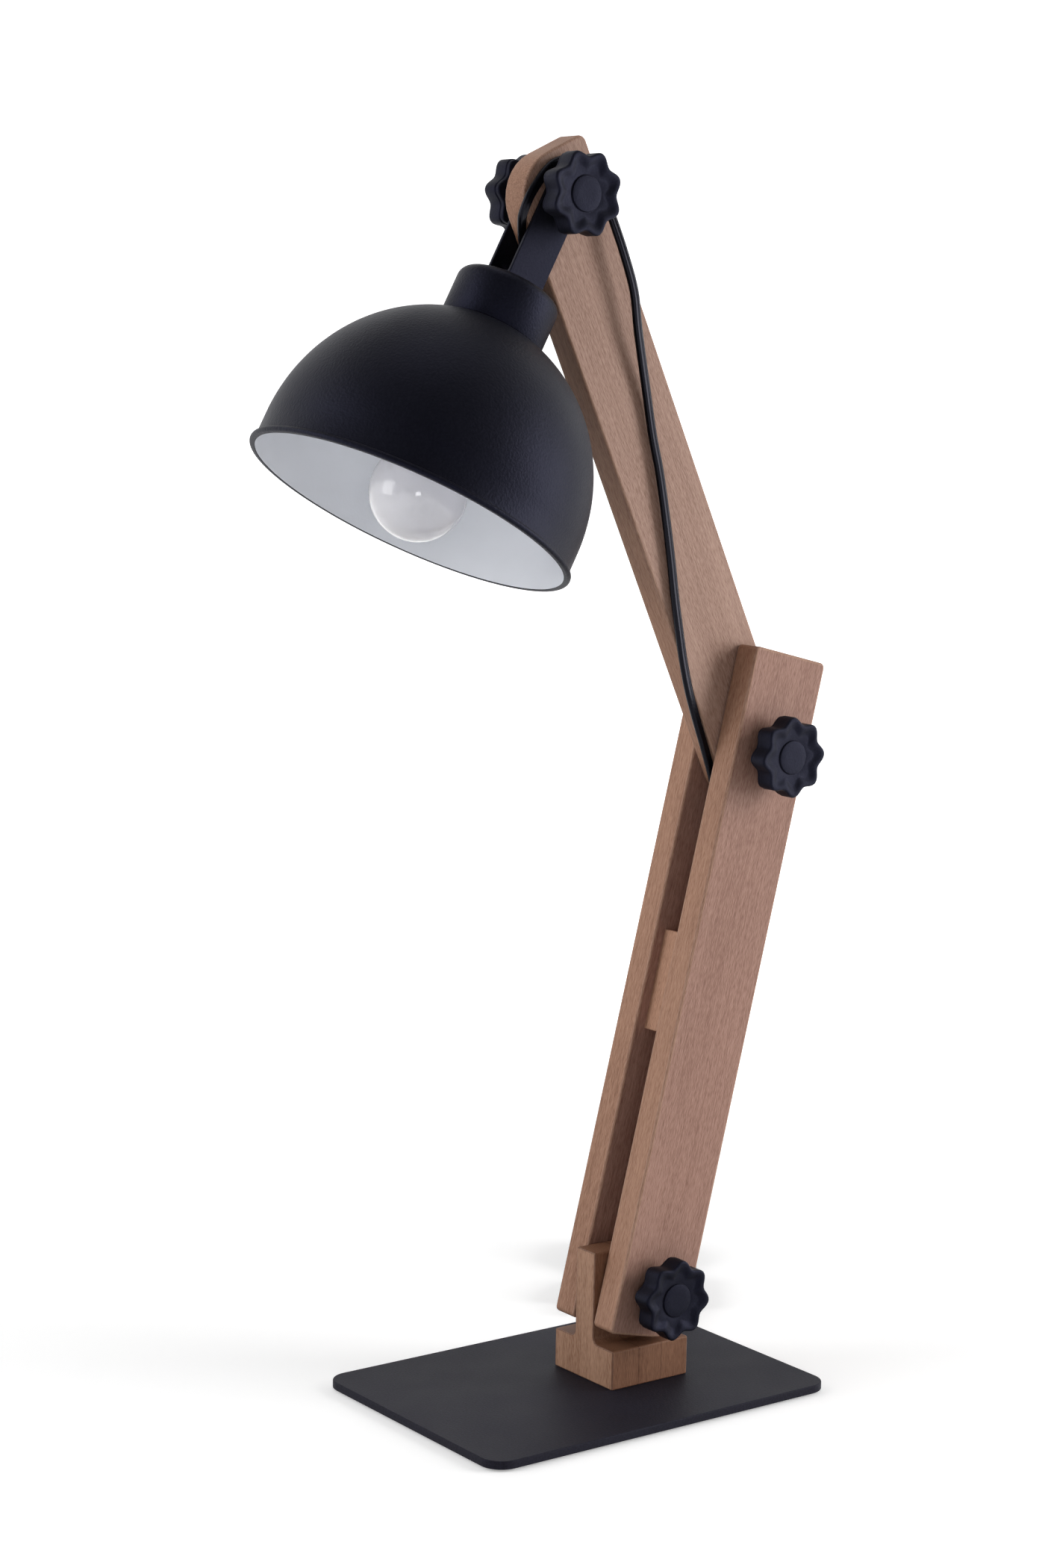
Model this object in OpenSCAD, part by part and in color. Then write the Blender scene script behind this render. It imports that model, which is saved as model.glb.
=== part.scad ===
// Table lamp with two wooden swing arms, star knobs at the pivots and a spun metal shade.
// +Z is up, the origin is at the middle of the underside, the shade faces -Y, all pivots lie along X.

/* [Base] */
// Width of the base plate, side to side
plate_w = 140; // [120:1:200]
// Depth of the base plate, front to back
plate_d = 200; // [160:1:260]
// Thickness of the base plate
plate_t = 4; // [3:0.5:8]
// Corner radius of the base plate
plate_r = 11; // [5:0.5:20]
// Thickness of the anti-slip sheet under the plate
pad_t = 1; // [0.5:0.1:2]
// Distance from the plate's edge in to the sheet's edge
pad_inset = 3; // [1:0.5:8]

/* [Foot] */
// Width of the foot block, side to side
foot_w = 45; // [42:0.5:60]
// Height of the foot block's shoulders
foot_h = 19; // [14:0.5:20]
// Depth of the front and of the rear layer of the foot
foot_outer_layer = 16; // [12:0.5:22]
// Depth of the middle layer of the foot, which is drilled for the pivot
foot_middle_layer = 14; // [12:0.5:20]
// Distance from the plate's middle back to the foot's front
foot_front = 3; // [0:0.5:12]
// Thickness of the tongue that stands up between the arm's boards
tongue_t = 14; // [12:0.1:15]
// Height of the tongue above the plate
tongue_h = 63.5; // [60:0.5:75]
// Radius of the hollow where the tongue meets the shoulders
tongue_fillet = 3.5; // [2:0.5:4]
// Height of the base pivot above the plate
base_pivot_h = 44.2; // [43.5:0.1:48]
// Diameter of the wood screws that hold the foot
screw_d = 4; // [3:0.1:5]
// Length of the wood screws
screw_l = 18; // [14:0.5:20]
// Distance of each wood screw from the foot's middle, front to back
screw_offset = 15; // [13:0.5:16]

/* [Lower arm] */
// Thickness of each lower board
lower_t = 14.4; // [12:0.1:20]
// Width of each lower board
lower_w = 45; // [42:0.5:50]
// Gap between the lower boards
board_gap = 15.5; // [15.4:0.1:18]
// Distance between the base pivot and the elbow pivot
lower_span = 263.6; // [240:0.5:320]
// Length of the lower boards below the base pivot
lower_tail = 22; // [18:0.5:22.5]
// Length of the lower boards above the elbow pivot
lower_head = 48.4; // [30:0.5:60]
// Lean of the lower arm, back from upright
lower_lean = 13.7; // [5:0.1:20]
// Radius at the boards' bottom rear corner, which clears the foot
lower_heel_r = 18; // [17:0.5:20]
// Radius at the lower boards' other corners
lower_corner_r = 2.5; // [2:0.5:6]
// Length of the spacer between the lower boards
spacer_l = 49; // [30:0.5:60]
// Depth of the spacer, front to back
spacer_d = 24; // [18:0.5:24.5]
// Distance from the boards' front back to the spacer's front
spacer_recess = 6; // [2:0.5:6]
// Distance from the base pivot up to the spacer's middle
spacer_at = 146; // [110:1:155]
// Diameter of the dowels through the spacer
dowel_d = 8; // [5:0.5:10]
// Depth of the dowels in each board
dowel_depth = 8; // [4:0.5:10]

/* [Upper arm] */
// Thickness of the upper board
upper_t = 14.5; // [12:0.1:15]
// Width of the upper board
upper_w = 44.5; // [42:0.5:46]
// Distance between the elbow pivot and the head pivot
upper_span = 285; // [250:0.5:330]
// Length of the upper board below the elbow pivot
upper_tail = 20.5; // [18:0.5:30]
// Distance of the elbow hole in front of the upper board's middle
elbow_offset = 1.2; // [0:0.1:3]
// Length of the upper board beyond the head pivot
upper_end = 20.5; // [16:0.5:24]
// Lean of the upper arm, forward from upright
upper_lean = 25.4; // [15:0.1:35]
// Radius at the upper board's front top corner
upper_nose_r = 22; // [8:0.5:22]
// Radius at the upper board's two corners below the elbow
upper_tail_r = 16; // [8:0.5:18]
// Radius at the upper board's rear top corner
upper_corner_r = 4; // [2:0.5:8]

/* [Pivots] */
// Diameter of the pivot bolts
bolt_d = 6; // [5:0.5:8]
// Diameter of a bolt's domed head
bolt_head_d = 15; // [12:0.5:18]
// Height of a bolt's domed head
bolt_head_h = 3.5; // [2.5:0.1:5]
// Diameter of the fibre washers in the pivots
washer_d = 26; // [18:0.5:30]

/* [Knobs] */
// Diameter over a knob's lobes
knob_d = 38.8; // [34:0.1:42]
// Depth of the hollows between a knob's lobes
knob_lobe_depth = 3; // [1.5:0.1:4]
// Number of lobes on a knob
knob_lobes = 8; // [5:1:10]
// Height of a knob from its seat to its rim
knob_h = 17; // [15:0.5:20]
// Diameter of a knob's hub
knob_hub_d = 21; // [18:0.5:22]
// Height of a knob's hub
knob_hub_h = 6.5; // [5:0.5:7]
// Diameter of a knob's threaded insert
insert_d = 10; // [9:0.5:12]
// Length of a knob's threaded insert
insert_l = 11; // [9:0.5:11.5]
// Diameter of the disc in a knob's face
cap_d = 16.5; // [14:0.5:20]
// Thickness of the disc in a knob's face
cap_t = 2.4; // [1.5:0.1:3]
// Depth of the dished face at its middle
knob_dish = 1.5; // [0.5:0.1:1.5]
// Radius of the edges of a knob's lobes
knob_edge = 0.9; // [0.4:0.1:1.5]

/* [Head] */
// Lean of the shade's axis: its open end points this far forward of straight down
head_lean = 28.2; // [10:0.1:28.5]
// Distance from the head pivot to the rim's plane
shade_l = 160.7; // [155:0.1:180]
// Outer radius of the shade's wall
shade_r = 75.3; // [65:0.1:85]
// Height of the straight wall above the rim
skirt_h = 14.1; // [6:0.1:16]
// Height of the dome above the straight wall, if it were closed
dome_h = 80.2; // [70:0.1:80.5]
// Thickness of the shade's sheet
sheet_t = 1; // [0.8:0.1:1.6]
// Thickness of the rolled lip at the rim
lip_t = 2.8; // [2:0.1:4]
// How far the lip stands out from the wall
lip_out = 1.9; // [1.5:0.1:4]
// Diameter of the neck cup
neck_d = 48.4; // [46:0.1:49.4]
// Radius of the neck cup's top edge
neck_r = 5; // [3:0.5:7]
// Thickness of the neck cup's wall
neck_t = 1.2; // [0.8:0.1:2]
// Width of the yoke's strap
yoke_w = 20; // [16:0.5:21]
// Thickness of the yoke's strap
yoke_t = 2; // [1.5:0.1:3]
// Distance from the head pivot to the neck's top
yoke_l = 47; // [44.5:0.5:48]

/* [Light] */
// Diameter of the bulb's globe
globe_d = 44; // [40:0.5:45]
// Distance from the rim's plane in to the globe's centre
globe_in = 10.6; // [5:0.1:12]
// Length of the bulb from the globe's end to its contact
bulb_l = 78; // [72:0.5:80]
// Thickness of the globe's wall
globe_t = 1.2; // [0.8:0.1:2]
// Diameter of the bulb's screw cap
bulb_cap_d = 26; // [25:0.1:27]
// Length of the bulb's screw cap
bulb_cap_l = 25; // [20:0.5:28]
// Outer diameter of the lamp holder
holder_d = 39; // [36:0.5:42]
// Length of the lamp holder's body
holder_l = 40; // [34:0.5:44]
// Height of the lamp holder's domed end
holder_dome_h = 12; // [8:0.5:14]
// Outer diameter of the ring on the lamp holder
holder_ring_d = 45; // [43:0.5:50]
// Height of the ring on the lamp holder
holder_ring_h = 8; // [5:0.5:10]
// Outer diameter of the hollow threaded tube
nipple_d = 10; // [9:0.5:11]
// Diameter of the bore of the threaded tube
nipple_bore = 7; // [5.5:0.5:7.5]
// Diameter of the round nuts on the threaded tube
nut_d = 13.6; // [13:0.1:14]
// Height of the round nuts
nut_h = 3; // [2:0.5:3.5]
// Height of the cord grip on the threaded tube
grip_h = 3; // [3:0.5:5]

/* [Cord] */
// Diameter of the cord
cord_d = 4; // [3:0.1:4.2]
// Number of turns in the coil that is put away
coil_turns = 8.5; // [4.5:1:10.5]
// Distance between neighbouring turns of the coil
coil_pitch = 4.6; // [4.4:0.1:6]
// Radius of the coil's outer turn, to the cord's middle
coil_r = 26.4; // [24:0.1:34]
// Width of the tie round the coil
tie_w = 8; // [5:0.5:15]
// Thickness of the tie round the coil
tie_t = 1; // [0.6:0.1:1.5]

/* [Switch and plug] */
// Length of the switch on the cord
switch_l = 52; // [46:1:54]
// Width of the switch
switch_w = 20; // [17:0.5:22]
// Height of the switch's lower half
switch_base_h = 6; // [5.5:0.5:8]
// Height of the switch's upper half
switch_cover_h = 8; // [6:0.5:10]
// Radius of the rocker's round ends, from its pin
rocker_r = 9.6; // [8:0.1:11]
// Width of the rocker
rocker_w = 9.4; // [7:0.1:11]
// Angle that the rocker leans to each side
rocker_lean = 8; // [5:0.5:10]
// Width of the plug's body
plug_w = 35; // [33:0.5:36]
// Length of the plug's body
plug_l = 36; // [33:0.5:38]
// Thickness of the plug's body
plug_t = 13.7; // [13:0.1:15]
// Diameter of the plug's pins
pin_d = 4; // [3.5:0.1:4.8]
// Length of the plug's pins
pin_l = 19; // [17:0.5:20]
// Distance between the plug's pins
pin_gap = 19; // [17:0.5:20]

/* [Hidden] */
$fn = 96;
wood = [0.60, 0.46, 0.38];
wood_dark = [0.55, 0.42, 0.32];
black = [0.13, 0.14, 0.16];
steel = [0.62, 0.63, 0.65];
brass = [0.78, 0.62, 0.30];
white = [0.93, 0.93, 0.91];

// Clearances: turning fits, seats within one assembly, parts that pass each other, flats that slide
run_clear = 0.05;
seat_clear = 0.05;
free_clear = 0.3;
yoke_clear = 0.1;
slide_clear = 0.02;

bolt_r = bolt_d / 2;
bore_r = bolt_r + run_clear;
plate_top = pad_t + plate_t;
foot_d = 2 * foot_outer_layer + foot_middle_layer;
foot_mid_y = foot_front + foot_d / 2;
pivot_behind_middle = 3;
base_pivot = [0, foot_mid_y + pivot_behind_middle, plate_top + base_pivot_h];
lower_in = board_gap / 2;
lower_out = lower_in + lower_t;
elbow_pivot = base_pivot + lower_span * [0, sin(lower_lean), cos(lower_lean)];
upper_origin = elbow_pivot + elbow_offset * [0, cos(upper_lean), sin(upper_lean)];
head_pivot = upper_origin + upper_span * [0, -sin(upper_lean), cos(upper_lean)];
yoke_in = upper_t / 2 + yoke_clear;
yoke_out = yoke_in + yoke_t;
cap_z = knob_h - knob_dish - cap_t;
bolt_end = cap_z - 1;
// Turn of each knob as it was left, from the frame that it sits in
base_knob_turn = 5;
elbow_knob_turn = 16;
left_knob_turn = 19;
right_knob_turn = 4;
spacer_y = -lower_w / 2 + spacer_recess + spacer_d / 2;

// Heights along the shade's axis, measured from the head pivot
rim_z = -shade_l;
dome_z = rim_z + skirt_h;
neck_top_z = -yoke_l;
shade_top_z = dome_z + dome_h * sqrt(1 - pow(neck_d / 2 / shade_r, 2));
strap_top_z = neck_top_z + yoke_t;
nipple_top_z = strap_top_z + nut_h + 1;
grip_top_z = nipple_top_z + grip_h;
globe_z = rim_z + globe_in;
bulb_top_z = globe_z - globe_d / 2 + bulb_l;
contact_h = 2;
bulb_cap_top_z = bulb_top_z - contact_h;
bulb_cap_low_z = bulb_cap_top_z - bulb_cap_l;
holder_low_z = bulb_cap_low_z + 3;
holder_top_z = holder_low_z + holder_l;
holder_end_z = holder_top_z + holder_dome_h;
nipple_low_z = holder_end_z - 6;
shade_hole_r = neck_d / 2 - 6;

// Where the put-away cord lies: a corner behind the foot, and the way it runs from there
lay_at = [-85, 100, 0];
lay_turn = 140;
switch_at = [21, -24, 0];
switch_boot = 8;
plug_at = [0, 14, 0];
plug_boot = 8;
cord_r = cord_d / 2;
cord_z = switch_base_h;
plug_z = plug_t / 2;
coil_at = [83, 0, 0];
coil_layers = 4;
tie_clear = 0.3;
coil_low_z = tie_t + tie_clear + cord_r;
coil_top_z = coil_low_z + (coil_layers - 1) * coil_pitch;
coil_sweep = coil_turns / coil_layers;
coil_in_r = coil_r - coil_pitch * coil_sweep;
rocker_z = switch_base_h + switch_cover_h - 3.5;
rocker_pin_r = 1.2;
rocker_pin_l = 1.5;
window_l = 2 * (rocker_r + free_clear);
window_w = rocker_w + 2 * free_clear;

// Frames: the lower arm's Z runs up the arm from the base pivot, the upper arm's up the middle of its
// board from beside the elbow pivot, the head's up the shade's axis to the head pivot; Y points back

module at_lower() {
    translate(base_pivot) rotate([-lower_lean, 0, 0]) children();
}

module at_upper() {
    translate(upper_origin) rotate([upper_lean, 0, 0]) children();
}

module at_head() {
    translate(head_pivot) rotate([-head_lean, 0, 0]) children();
}

module at_lay() {
    translate(lay_at) rotate([0, 0, lay_turn]) children();
}

function turn_x(p, a) = [p.x, p.y * cos(a) - p.z * sin(a), p.y * sin(a) + p.z * cos(a)];
function from_lower(p) = base_pivot + turn_x(p, -lower_lean);
function from_upper(p) = upper_origin + turn_x(p, upper_lean);
function from_head(p) = head_pivot + turn_x(p, -head_lean);
function from_lay(p) = lay_at + [
    p.x * cos(lay_turn) - p.y * sin(lay_turn), p.x * sin(lay_turn) + p.y * cos(lay_turn), p.z
];

// A 2D shape in Y and Z, drawn out along X from x0 to x1
module along_x(x0, x1) {
    translate([x0, 0, 0]) rotate([90, 0, 90]) linear_extrude(x1 - x0) children();
}

// A cylinder along X through the local origin
module rod_x(r, x0, x1) {
    translate([x0, 0, 0]) rotate([0, 90, 0]) cylinder(r = r, h = x1 - x0);
}

// What a round corner of radius r takes off at p; sx and sy point out of the shape
module off_corner(p, sx, sy, r) {
    over = 1;
    translate(p) difference() {
        translate([sx > 0 ? -r : -over, sy > 0 ? -r : -over]) square(r + over);
        translate([-sx * r, -sy * r]) circle(r);
    }
}

// A board's outline: w wide, from z0 to z1, with its four corner radii
module board_outline(w, z0, z1, front_low, rear_low, rear_high, front_high) {
    difference() {
        translate([-w / 2, z0]) square([w, z1 - z0]);
        off_corner([-w / 2, z0], -1, -1, front_low);
        off_corner([w / 2, z0], 1, -1, rear_low);
        off_corner([w / 2, z1], 1, 1, rear_high);
        off_corner([-w / 2, z1], -1, 1, front_high);
    }
}

// A rectangle about the origin with four equal round corners
module round_rect(w, d, r) {
    difference() {
        square([w, d], center = true);
        for (sx = [-1, 1], sy = [-1, 1]) off_corner([sx * w / 2, sy * d / 2], sx, sy, r);
    }
}

// Base and foot

module base_pad() {
    inset = 2 * pad_inset;
    r = plate_r - pad_inset / 2;
    color(black) linear_extrude(pad_t) round_rect(plate_w - inset, plate_d - inset, r);
}

module base_plate() {
    color(black) difference() {
        translate([0, 0, pad_t]) linear_extrude(plate_t) round_rect(plate_w, plate_d, plate_r);
        for (s = [-1, 1]) foot_screw(s, seat_clear);
    }
}

// A countersunk wood screw, driven up through the plate; grow widens it to make its hole
module foot_screw(s, grow = 0) {
    head_h = screw_d / 2;
    translate([0, foot_mid_y + s * screw_offset, pad_t]) rotate_extrude() polygon([
        [0, 0], [screw_d + grow, 0], [screw_d / 2 + grow, head_h],
        [screw_d / 2 + grow, screw_l + grow], [0, screw_l + grow]
    ]);
}

module foot_screw_front() {
    color(steel) foot_screw(-1);
}

module foot_screw_rear() {
    color(steel) foot_screw(1);
}

// The foot is an upside-down T with hollow fillets, glued up from three layers
module foot_outline() {
    translate([-foot_w / 2, 0]) square([foot_w, foot_h]);
    translate([-tongue_t / 2, 0]) square([tongue_t, tongue_h]);
    for (s = [0, 1]) mirror([s, 0]) translate([tongue_t / 2, foot_h]) difference() {
        square(tongue_fillet);
        translate([tongue_fillet, tongue_fillet]) circle(tongue_fillet);
    }
}

module foot_layer(y0, depth) {
    color(wood_dark) difference() {
        translate([0, y0 + depth, plate_top]) rotate([90, 0, 0]) linear_extrude(depth) foot_outline();
        translate(base_pivot) rod_x(bore_r, -tongue_t, tongue_t);
        for (s = [-1, 1]) foot_screw(s, seat_clear);
    }
}

module foot_front_layer() {
    foot_layer(foot_front, foot_outer_layer);
}

module foot_middle_layer_block() {
    foot_layer(foot_front + foot_outer_layer, foot_middle_layer);
}

module foot_rear_layer() {
    foot_layer(foot_front + foot_outer_layer + foot_middle_layer, foot_outer_layer);
}

// Lower arm

module lower_board(s) {
    color(wood) at_lower() difference() {
        along_x(s > 0 ? lower_in : -lower_out, s > 0 ? lower_out : -lower_in) board_outline(
            lower_w, -lower_tail, lower_span + lower_head,
            lower_corner_r, lower_heel_r, lower_corner_r, lower_corner_r
        );
        rod_x(bore_r, -2 * lower_out, 2 * lower_out);
        translate([0, 0, lower_span]) rod_x(bore_r, -2 * lower_out, 2 * lower_out);
        for (k = [-1, 1]) spacer_dowel(k, seat_clear);
    }
}

module lower_board_left() {
    lower_board(-1);
}

module lower_board_right() {
    lower_board(1);
}

module spacer() {
    color(wood_dark) at_lower() difference() {
        translate([-lower_in, spacer_y - spacer_d / 2, spacer_at - spacer_l / 2])
            cube([board_gap, spacer_d, spacer_l]);
        for (k = [-1, 1]) spacer_dowel(k, seat_clear);
    }
}

// A dowel through the spacer into both boards, in the lower arm's frame
module spacer_dowel(k, grow = 0) {
    reach = lower_in + dowel_depth + grow;
    translate([0, spacer_y, spacer_at + k * spacer_l / 4]) rod_x(dowel_d / 2 + grow, -reach, reach);
}

module spacer_dowel_low() {
    color(wood) at_lower() spacer_dowel(-1);
}

module spacer_dowel_high() {
    color(wood) at_lower() spacer_dowel(1);
}

// A bolt along X with a domed head on the left board, long enough for the knob on the right
module pivot_bolt() {
    color(steel) {
        rod_x(bolt_r, -lower_out, lower_out + bolt_end);
        translate([-lower_out, 0, 0]) rotate([0, -90, 0]) rotate_extrude() intersection() {
            square([bolt_head_d / 2, bolt_head_h]);
            dome = (pow(bolt_head_d / 2, 2) + pow(bolt_head_h, 2)) / (2 * bolt_head_h);
            translate([0, bolt_head_h - dome]) circle(dome);
        }
    }
}

module base_bolt() {
    at_lower() pivot_bolt();
}

module elbow_bolt() {
    at_lower() translate([0, 0, lower_span]) pivot_bolt();
}

// A washer that fills the gap between the middle piece, thick wide, and a lower board
module pivot_washer(s, thick) {
    x0 = thick / 2 + slide_clear;
    color(black) difference() {
        rod_x(washer_d / 2, s > 0 ? x0 : -lower_in, s > 0 ? lower_in : -x0);
        rod_x(bolt_r + free_clear, -lower_out, lower_out);
    }
}

module base_washer_left() {
    at_lower() pivot_washer(-1, tongue_t);
}

module base_washer_right() {
    at_lower() pivot_washer(1, tongue_t);
}

module elbow_washer_left() {
    at_lower() translate([0, 0, lower_span]) pivot_washer(-1, upper_t);
}

module elbow_washer_right() {
    at_lower() translate([0, 0, lower_span]) pivot_washer(1, upper_t);
}

// Upper arm

module upper_board() {
    color(wood) at_upper() difference() {
        along_x(-upper_t / 2, upper_t / 2) board_outline(
            upper_w, -upper_tail, upper_span + upper_end,
            upper_tail_r, upper_tail_r, upper_corner_r, upper_nose_r
        );
        translate([0, -elbow_offset, 0]) rod_x(bore_r, -upper_t, upper_t);
        translate([0, 0, upper_span]) rod_x(bore_r, -upper_t, upper_t);
    }
}

module head_stud() {
    color(steel) at_head() rod_x(bolt_r, -yoke_out - bolt_end, yoke_out + bolt_end);
}

// Knobs: drawn with the seat at z = 0 and the face up

function lobe_r(a) = knob_d / 2 - knob_lobe_depth / 2 * (1 - cos(knob_lobes * a));
function lobe_point(a) = lobe_r(a) * [cos(a), sin(a)];

// Points of a quarter round on a knob's rim, centred at height z, from angle a0 up to a0 + 90
function rim_edge(z, a0) = let (r = knob_d / 2 - knob_edge)
    [for (a = [a0 : 30 : a0 + 90]) [r + knob_edge * cos(a), z + knob_edge * sin(a)]];

// The space above a knob's dished face: the hollow of a large sphere that ends at the lobes
module knob_hollow() {
    r = knob_d / 2 - knob_lobe_depth;
    ball = (pow(r, 2) + pow(knob_dish, 2)) / (2 * knob_dish);
    rotate_extrude() translate([0, knob_h - knob_dish]) intersection() {
        square([r, knob_dish + 1]);
        translate([0, ball]) circle(ball, $fn = 720);
    }
}

module knob() {
    steps = knob_lobes * 16;
    color(black) difference() {
        union() {
            cylinder(d = knob_hub_d, h = knob_hub_h + knob_edge);
            intersection() {
                translate([0, 0, knob_hub_h]) linear_extrude(knob_h - knob_hub_h)
                    polygon([for (i = [0 : steps - 1]) lobe_point(360 * i / steps)]);
                rotate_extrude() polygon(concat(
                    [[0, knob_hub_h]], rim_edge(knob_hub_h + knob_edge, -90),
                    rim_edge(knob_h - knob_edge, 0), [[0, knob_h]]
                ));
            }
        }
        translate([0, 0, -1]) cylinder(d = insert_d + 2 * seat_clear, h = insert_l + 1);
        translate([0, 0, -1]) cylinder(r = bore_r, h = bolt_end + 1 + free_clear);
        translate([0, 0, cap_z]) cylinder(d = cap_d + 2 * seat_clear, h = knob_h);
        knob_hollow();
    }
}

module knob_insert() {
    color(brass) difference() {
        cylinder(d = insert_d, h = insert_l);
        translate([0, 0, -1]) cylinder(r = bore_r, h = insert_l + 2);
    }
}

module knob_cap() {
    color(black) translate([0, 0, cap_z]) cylinder(d = cap_d, h = cap_t + knob_dish);
}

// Seat a knob at x = seat on the side s of a pivot, turned about the pivot
module on_side(s, seat, turn) {
    rotate([turn, 0, 0]) translate([s * seat, 0, 0]) rotate([0, s * 90, 0]) children();
}

module base_knob() {
    at_lower() on_side(1, lower_out, base_knob_turn) knob();
}

module base_knob_insert() {
    at_lower() on_side(1, lower_out, base_knob_turn) knob_insert();
}

module base_knob_cap() {
    at_lower() on_side(1, lower_out, base_knob_turn) knob_cap();
}

module elbow_knob() {
    at_lower() translate([0, 0, lower_span]) on_side(1, lower_out, elbow_knob_turn) knob();
}

module elbow_knob_insert() {
    at_lower() translate([0, 0, lower_span]) on_side(1, lower_out, elbow_knob_turn) knob_insert();
}

module elbow_knob_cap() {
    at_lower() translate([0, 0, lower_span]) on_side(1, lower_out, elbow_knob_turn) knob_cap();
}

module head_knob_left() {
    at_head() on_side(-1, yoke_out, left_knob_turn) knob();
}

module head_knob_left_insert() {
    at_head() on_side(-1, yoke_out, left_knob_turn) knob_insert();
}

module head_knob_left_cap() {
    at_head() on_side(-1, yoke_out, left_knob_turn) knob_cap();
}

module head_knob_right() {
    at_head() on_side(1, yoke_out, right_knob_turn) knob();
}

module head_knob_right_insert() {
    at_head() on_side(1, yoke_out, right_knob_turn) knob_insert();
}

module head_knob_right_cap() {
    at_head() on_side(1, yoke_out, right_knob_turn) knob_cap();
}

// Head

// A strap bent into a U: two bars on the board's faces and a bridge on the neck
module yoke() {
    color(black) at_head() difference() {
        union() {
            for (s = [-1, 1]) along_x(s > 0 ? yoke_in : -yoke_out, s > 0 ? yoke_out : -yoke_in) {
                circle(yoke_w / 2);
                translate([-yoke_w / 2, neck_top_z]) square([yoke_w, yoke_l]);
            }
            translate([-yoke_out, -yoke_w / 2, neck_top_z]) cube([2 * yoke_out, yoke_w, yoke_t]);
        }
        rod_x(bore_r, -2 * yoke_out, 2 * yoke_out);
        translate([0, 0, neck_top_z - 1]) cylinder(d = nipple_d + 2 * seat_clear, h = yoke_t + 2);
    }
}

module neck_cup() {
    r = neck_d / 2;
    inner = neck_r - neck_t;
    color(black) at_head() rotate_extrude() polygon([
        [nipple_d / 2 + seat_clear, neck_top_z],
        for (a = [90 : -10 : 0]) [r - neck_r + neck_r * cos(a), neck_top_z - neck_r + neck_r * sin(a)],
        [r, shade_top_z], [r - neck_t, shade_top_z],
        for (a = [0 : 10 : 90]) [r - neck_r + inner * cos(a), neck_top_z - neck_r + inner * sin(a)],
        [nipple_d / 2 + seat_clear, neck_top_z - neck_t]
    ]);
}

// Points down the dome from radius r0 to the straight wall, on an ellipse drawn in by thick
function dome_line(r0, thick) = let (r = shade_r - thick, h = dome_h - thick, a0 = acos(r0 / r), n = 20)
    [for (i = [0 : n]) let (a = a0 * (1 - i / n)) [r * cos(a), dome_z + h * sin(a)]];

module shade() {
    r = neck_d / 2;
    wall_in = shade_r - sheet_t;
    lip_r = lip_t / 2;
    lip_x = shade_r + lip_out - lip_r;
    outer = dome_line(r, 0);
    lip = [for (a = [90 : -15 : -90]) [lip_x + lip_r * cos(a), rim_z + lip_r + lip_r * sin(a)]];
    inner = dome_line(r - sheet_t, sheet_t);
    color(black) at_head() rotate_extrude() polygon(concat(
        [[shade_hole_r, shade_top_z]], outer, [[shade_r, rim_z + lip_t]], lip, [[wall_in, rim_z]],
        [for (i = [len(inner) - 1 : -1 : 0]) inner[i]], [[shade_hole_r, inner[0].y]]
    ));
}

module round_nut(z) {
    color(steel) at_head() difference() {
        translate([0, 0, z]) cylinder(d = nut_d, h = nut_h);
        translate([0, 0, z - 1]) cylinder(d = nipple_d + 2 * seat_clear, h = nut_h + 2);
    }
}

module nut_upper() {
    round_nut(strap_top_z);
}

module nut_lower() {
    round_nut(neck_top_z - neck_t - nut_h);
}

module nipple() {
    color(steel) at_head() difference() {
        translate([0, 0, nipple_low_z]) cylinder(d = nipple_d, h = nipple_top_z - nipple_low_z);
        translate([0, 0, nipple_low_z - 1]) cylinder(d = nipple_bore, h = nipple_top_z - nipple_low_z + 2);
    }
}

module cord_grip() {
    color(black) at_head() translate([0, 0, nipple_top_z])
        cylinder(d1 = nipple_d, d2 = cord_d + 2, h = grip_h);
}

module holder_dome() {
    low = holder_d / 2;
    high = nipple_d / 2 + 3;
    color(white) at_head() rotate_extrude() polygon([
        [nipple_d / 2 + seat_clear, holder_top_z], [low, holder_top_z], [low, holder_top_z + 2],
        [high, holder_end_z], [nipple_d / 2 + seat_clear, holder_end_z]
    ]);
}

module holder_body() {
    color(white) at_head() difference() {
        translate([0, 0, holder_low_z]) cylinder(d = holder_d, h = holder_l);
        translate([0, 0, holder_low_z - 1])
            cylinder(r = bulb_cap_d / 2 + free_clear, h = bulb_top_z - holder_low_z + 1);
    }
}

module holder_ring() {
    color(white) at_head() difference() {
        translate([0, 0, holder_low_z + 4]) cylinder(d = holder_ring_d, h = holder_ring_h);
        translate([0, 0, holder_low_z]) cylinder(d = holder_d + 2 * seat_clear, h = holder_ring_h + 8);
    }
}

module bulb_cap() {
    color(steel) at_head() rotate_extrude() polygon([
        [0, bulb_cap_low_z], [bulb_cap_d / 2, bulb_cap_low_z], [bulb_cap_d / 2, bulb_cap_top_z - 3],
        [bulb_cap_d / 4, bulb_cap_top_z], [contact_h, bulb_top_z], [0, bulb_top_z]
    ]);
}

// Points of the globe's outline, from its end up to the cap, drawn in by thick
function globe_line(thick) = let (
    r = globe_d / 2 - thick, neck = bulb_cap_d / 2 - thick, rise = bulb_cap_low_z - thick - globe_z,
    join = 40, n = 24
) concat(
    [for (i = [0 : n]) let (a = -90 + (90 + join) * i / n) [r * cos(a), globe_z + r * sin(a)]],
    [[neck + 1, globe_z + (rise + r * sin(join)) / 2], [neck, globe_z + rise - 1], [neck, globe_z + rise]]
);

module bulb_globe() {
    outer = globe_line(0);
    inner = globe_line(globe_t);
    color(white) at_head() rotate_extrude() polygon(concat(
        outer, [[0, bulb_cap_low_z]], [[0, bulb_cap_low_z - globe_t]],
        [for (i = [len(inner) - 1 : -1 : 0]) inner[i]]
    ));
}

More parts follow.
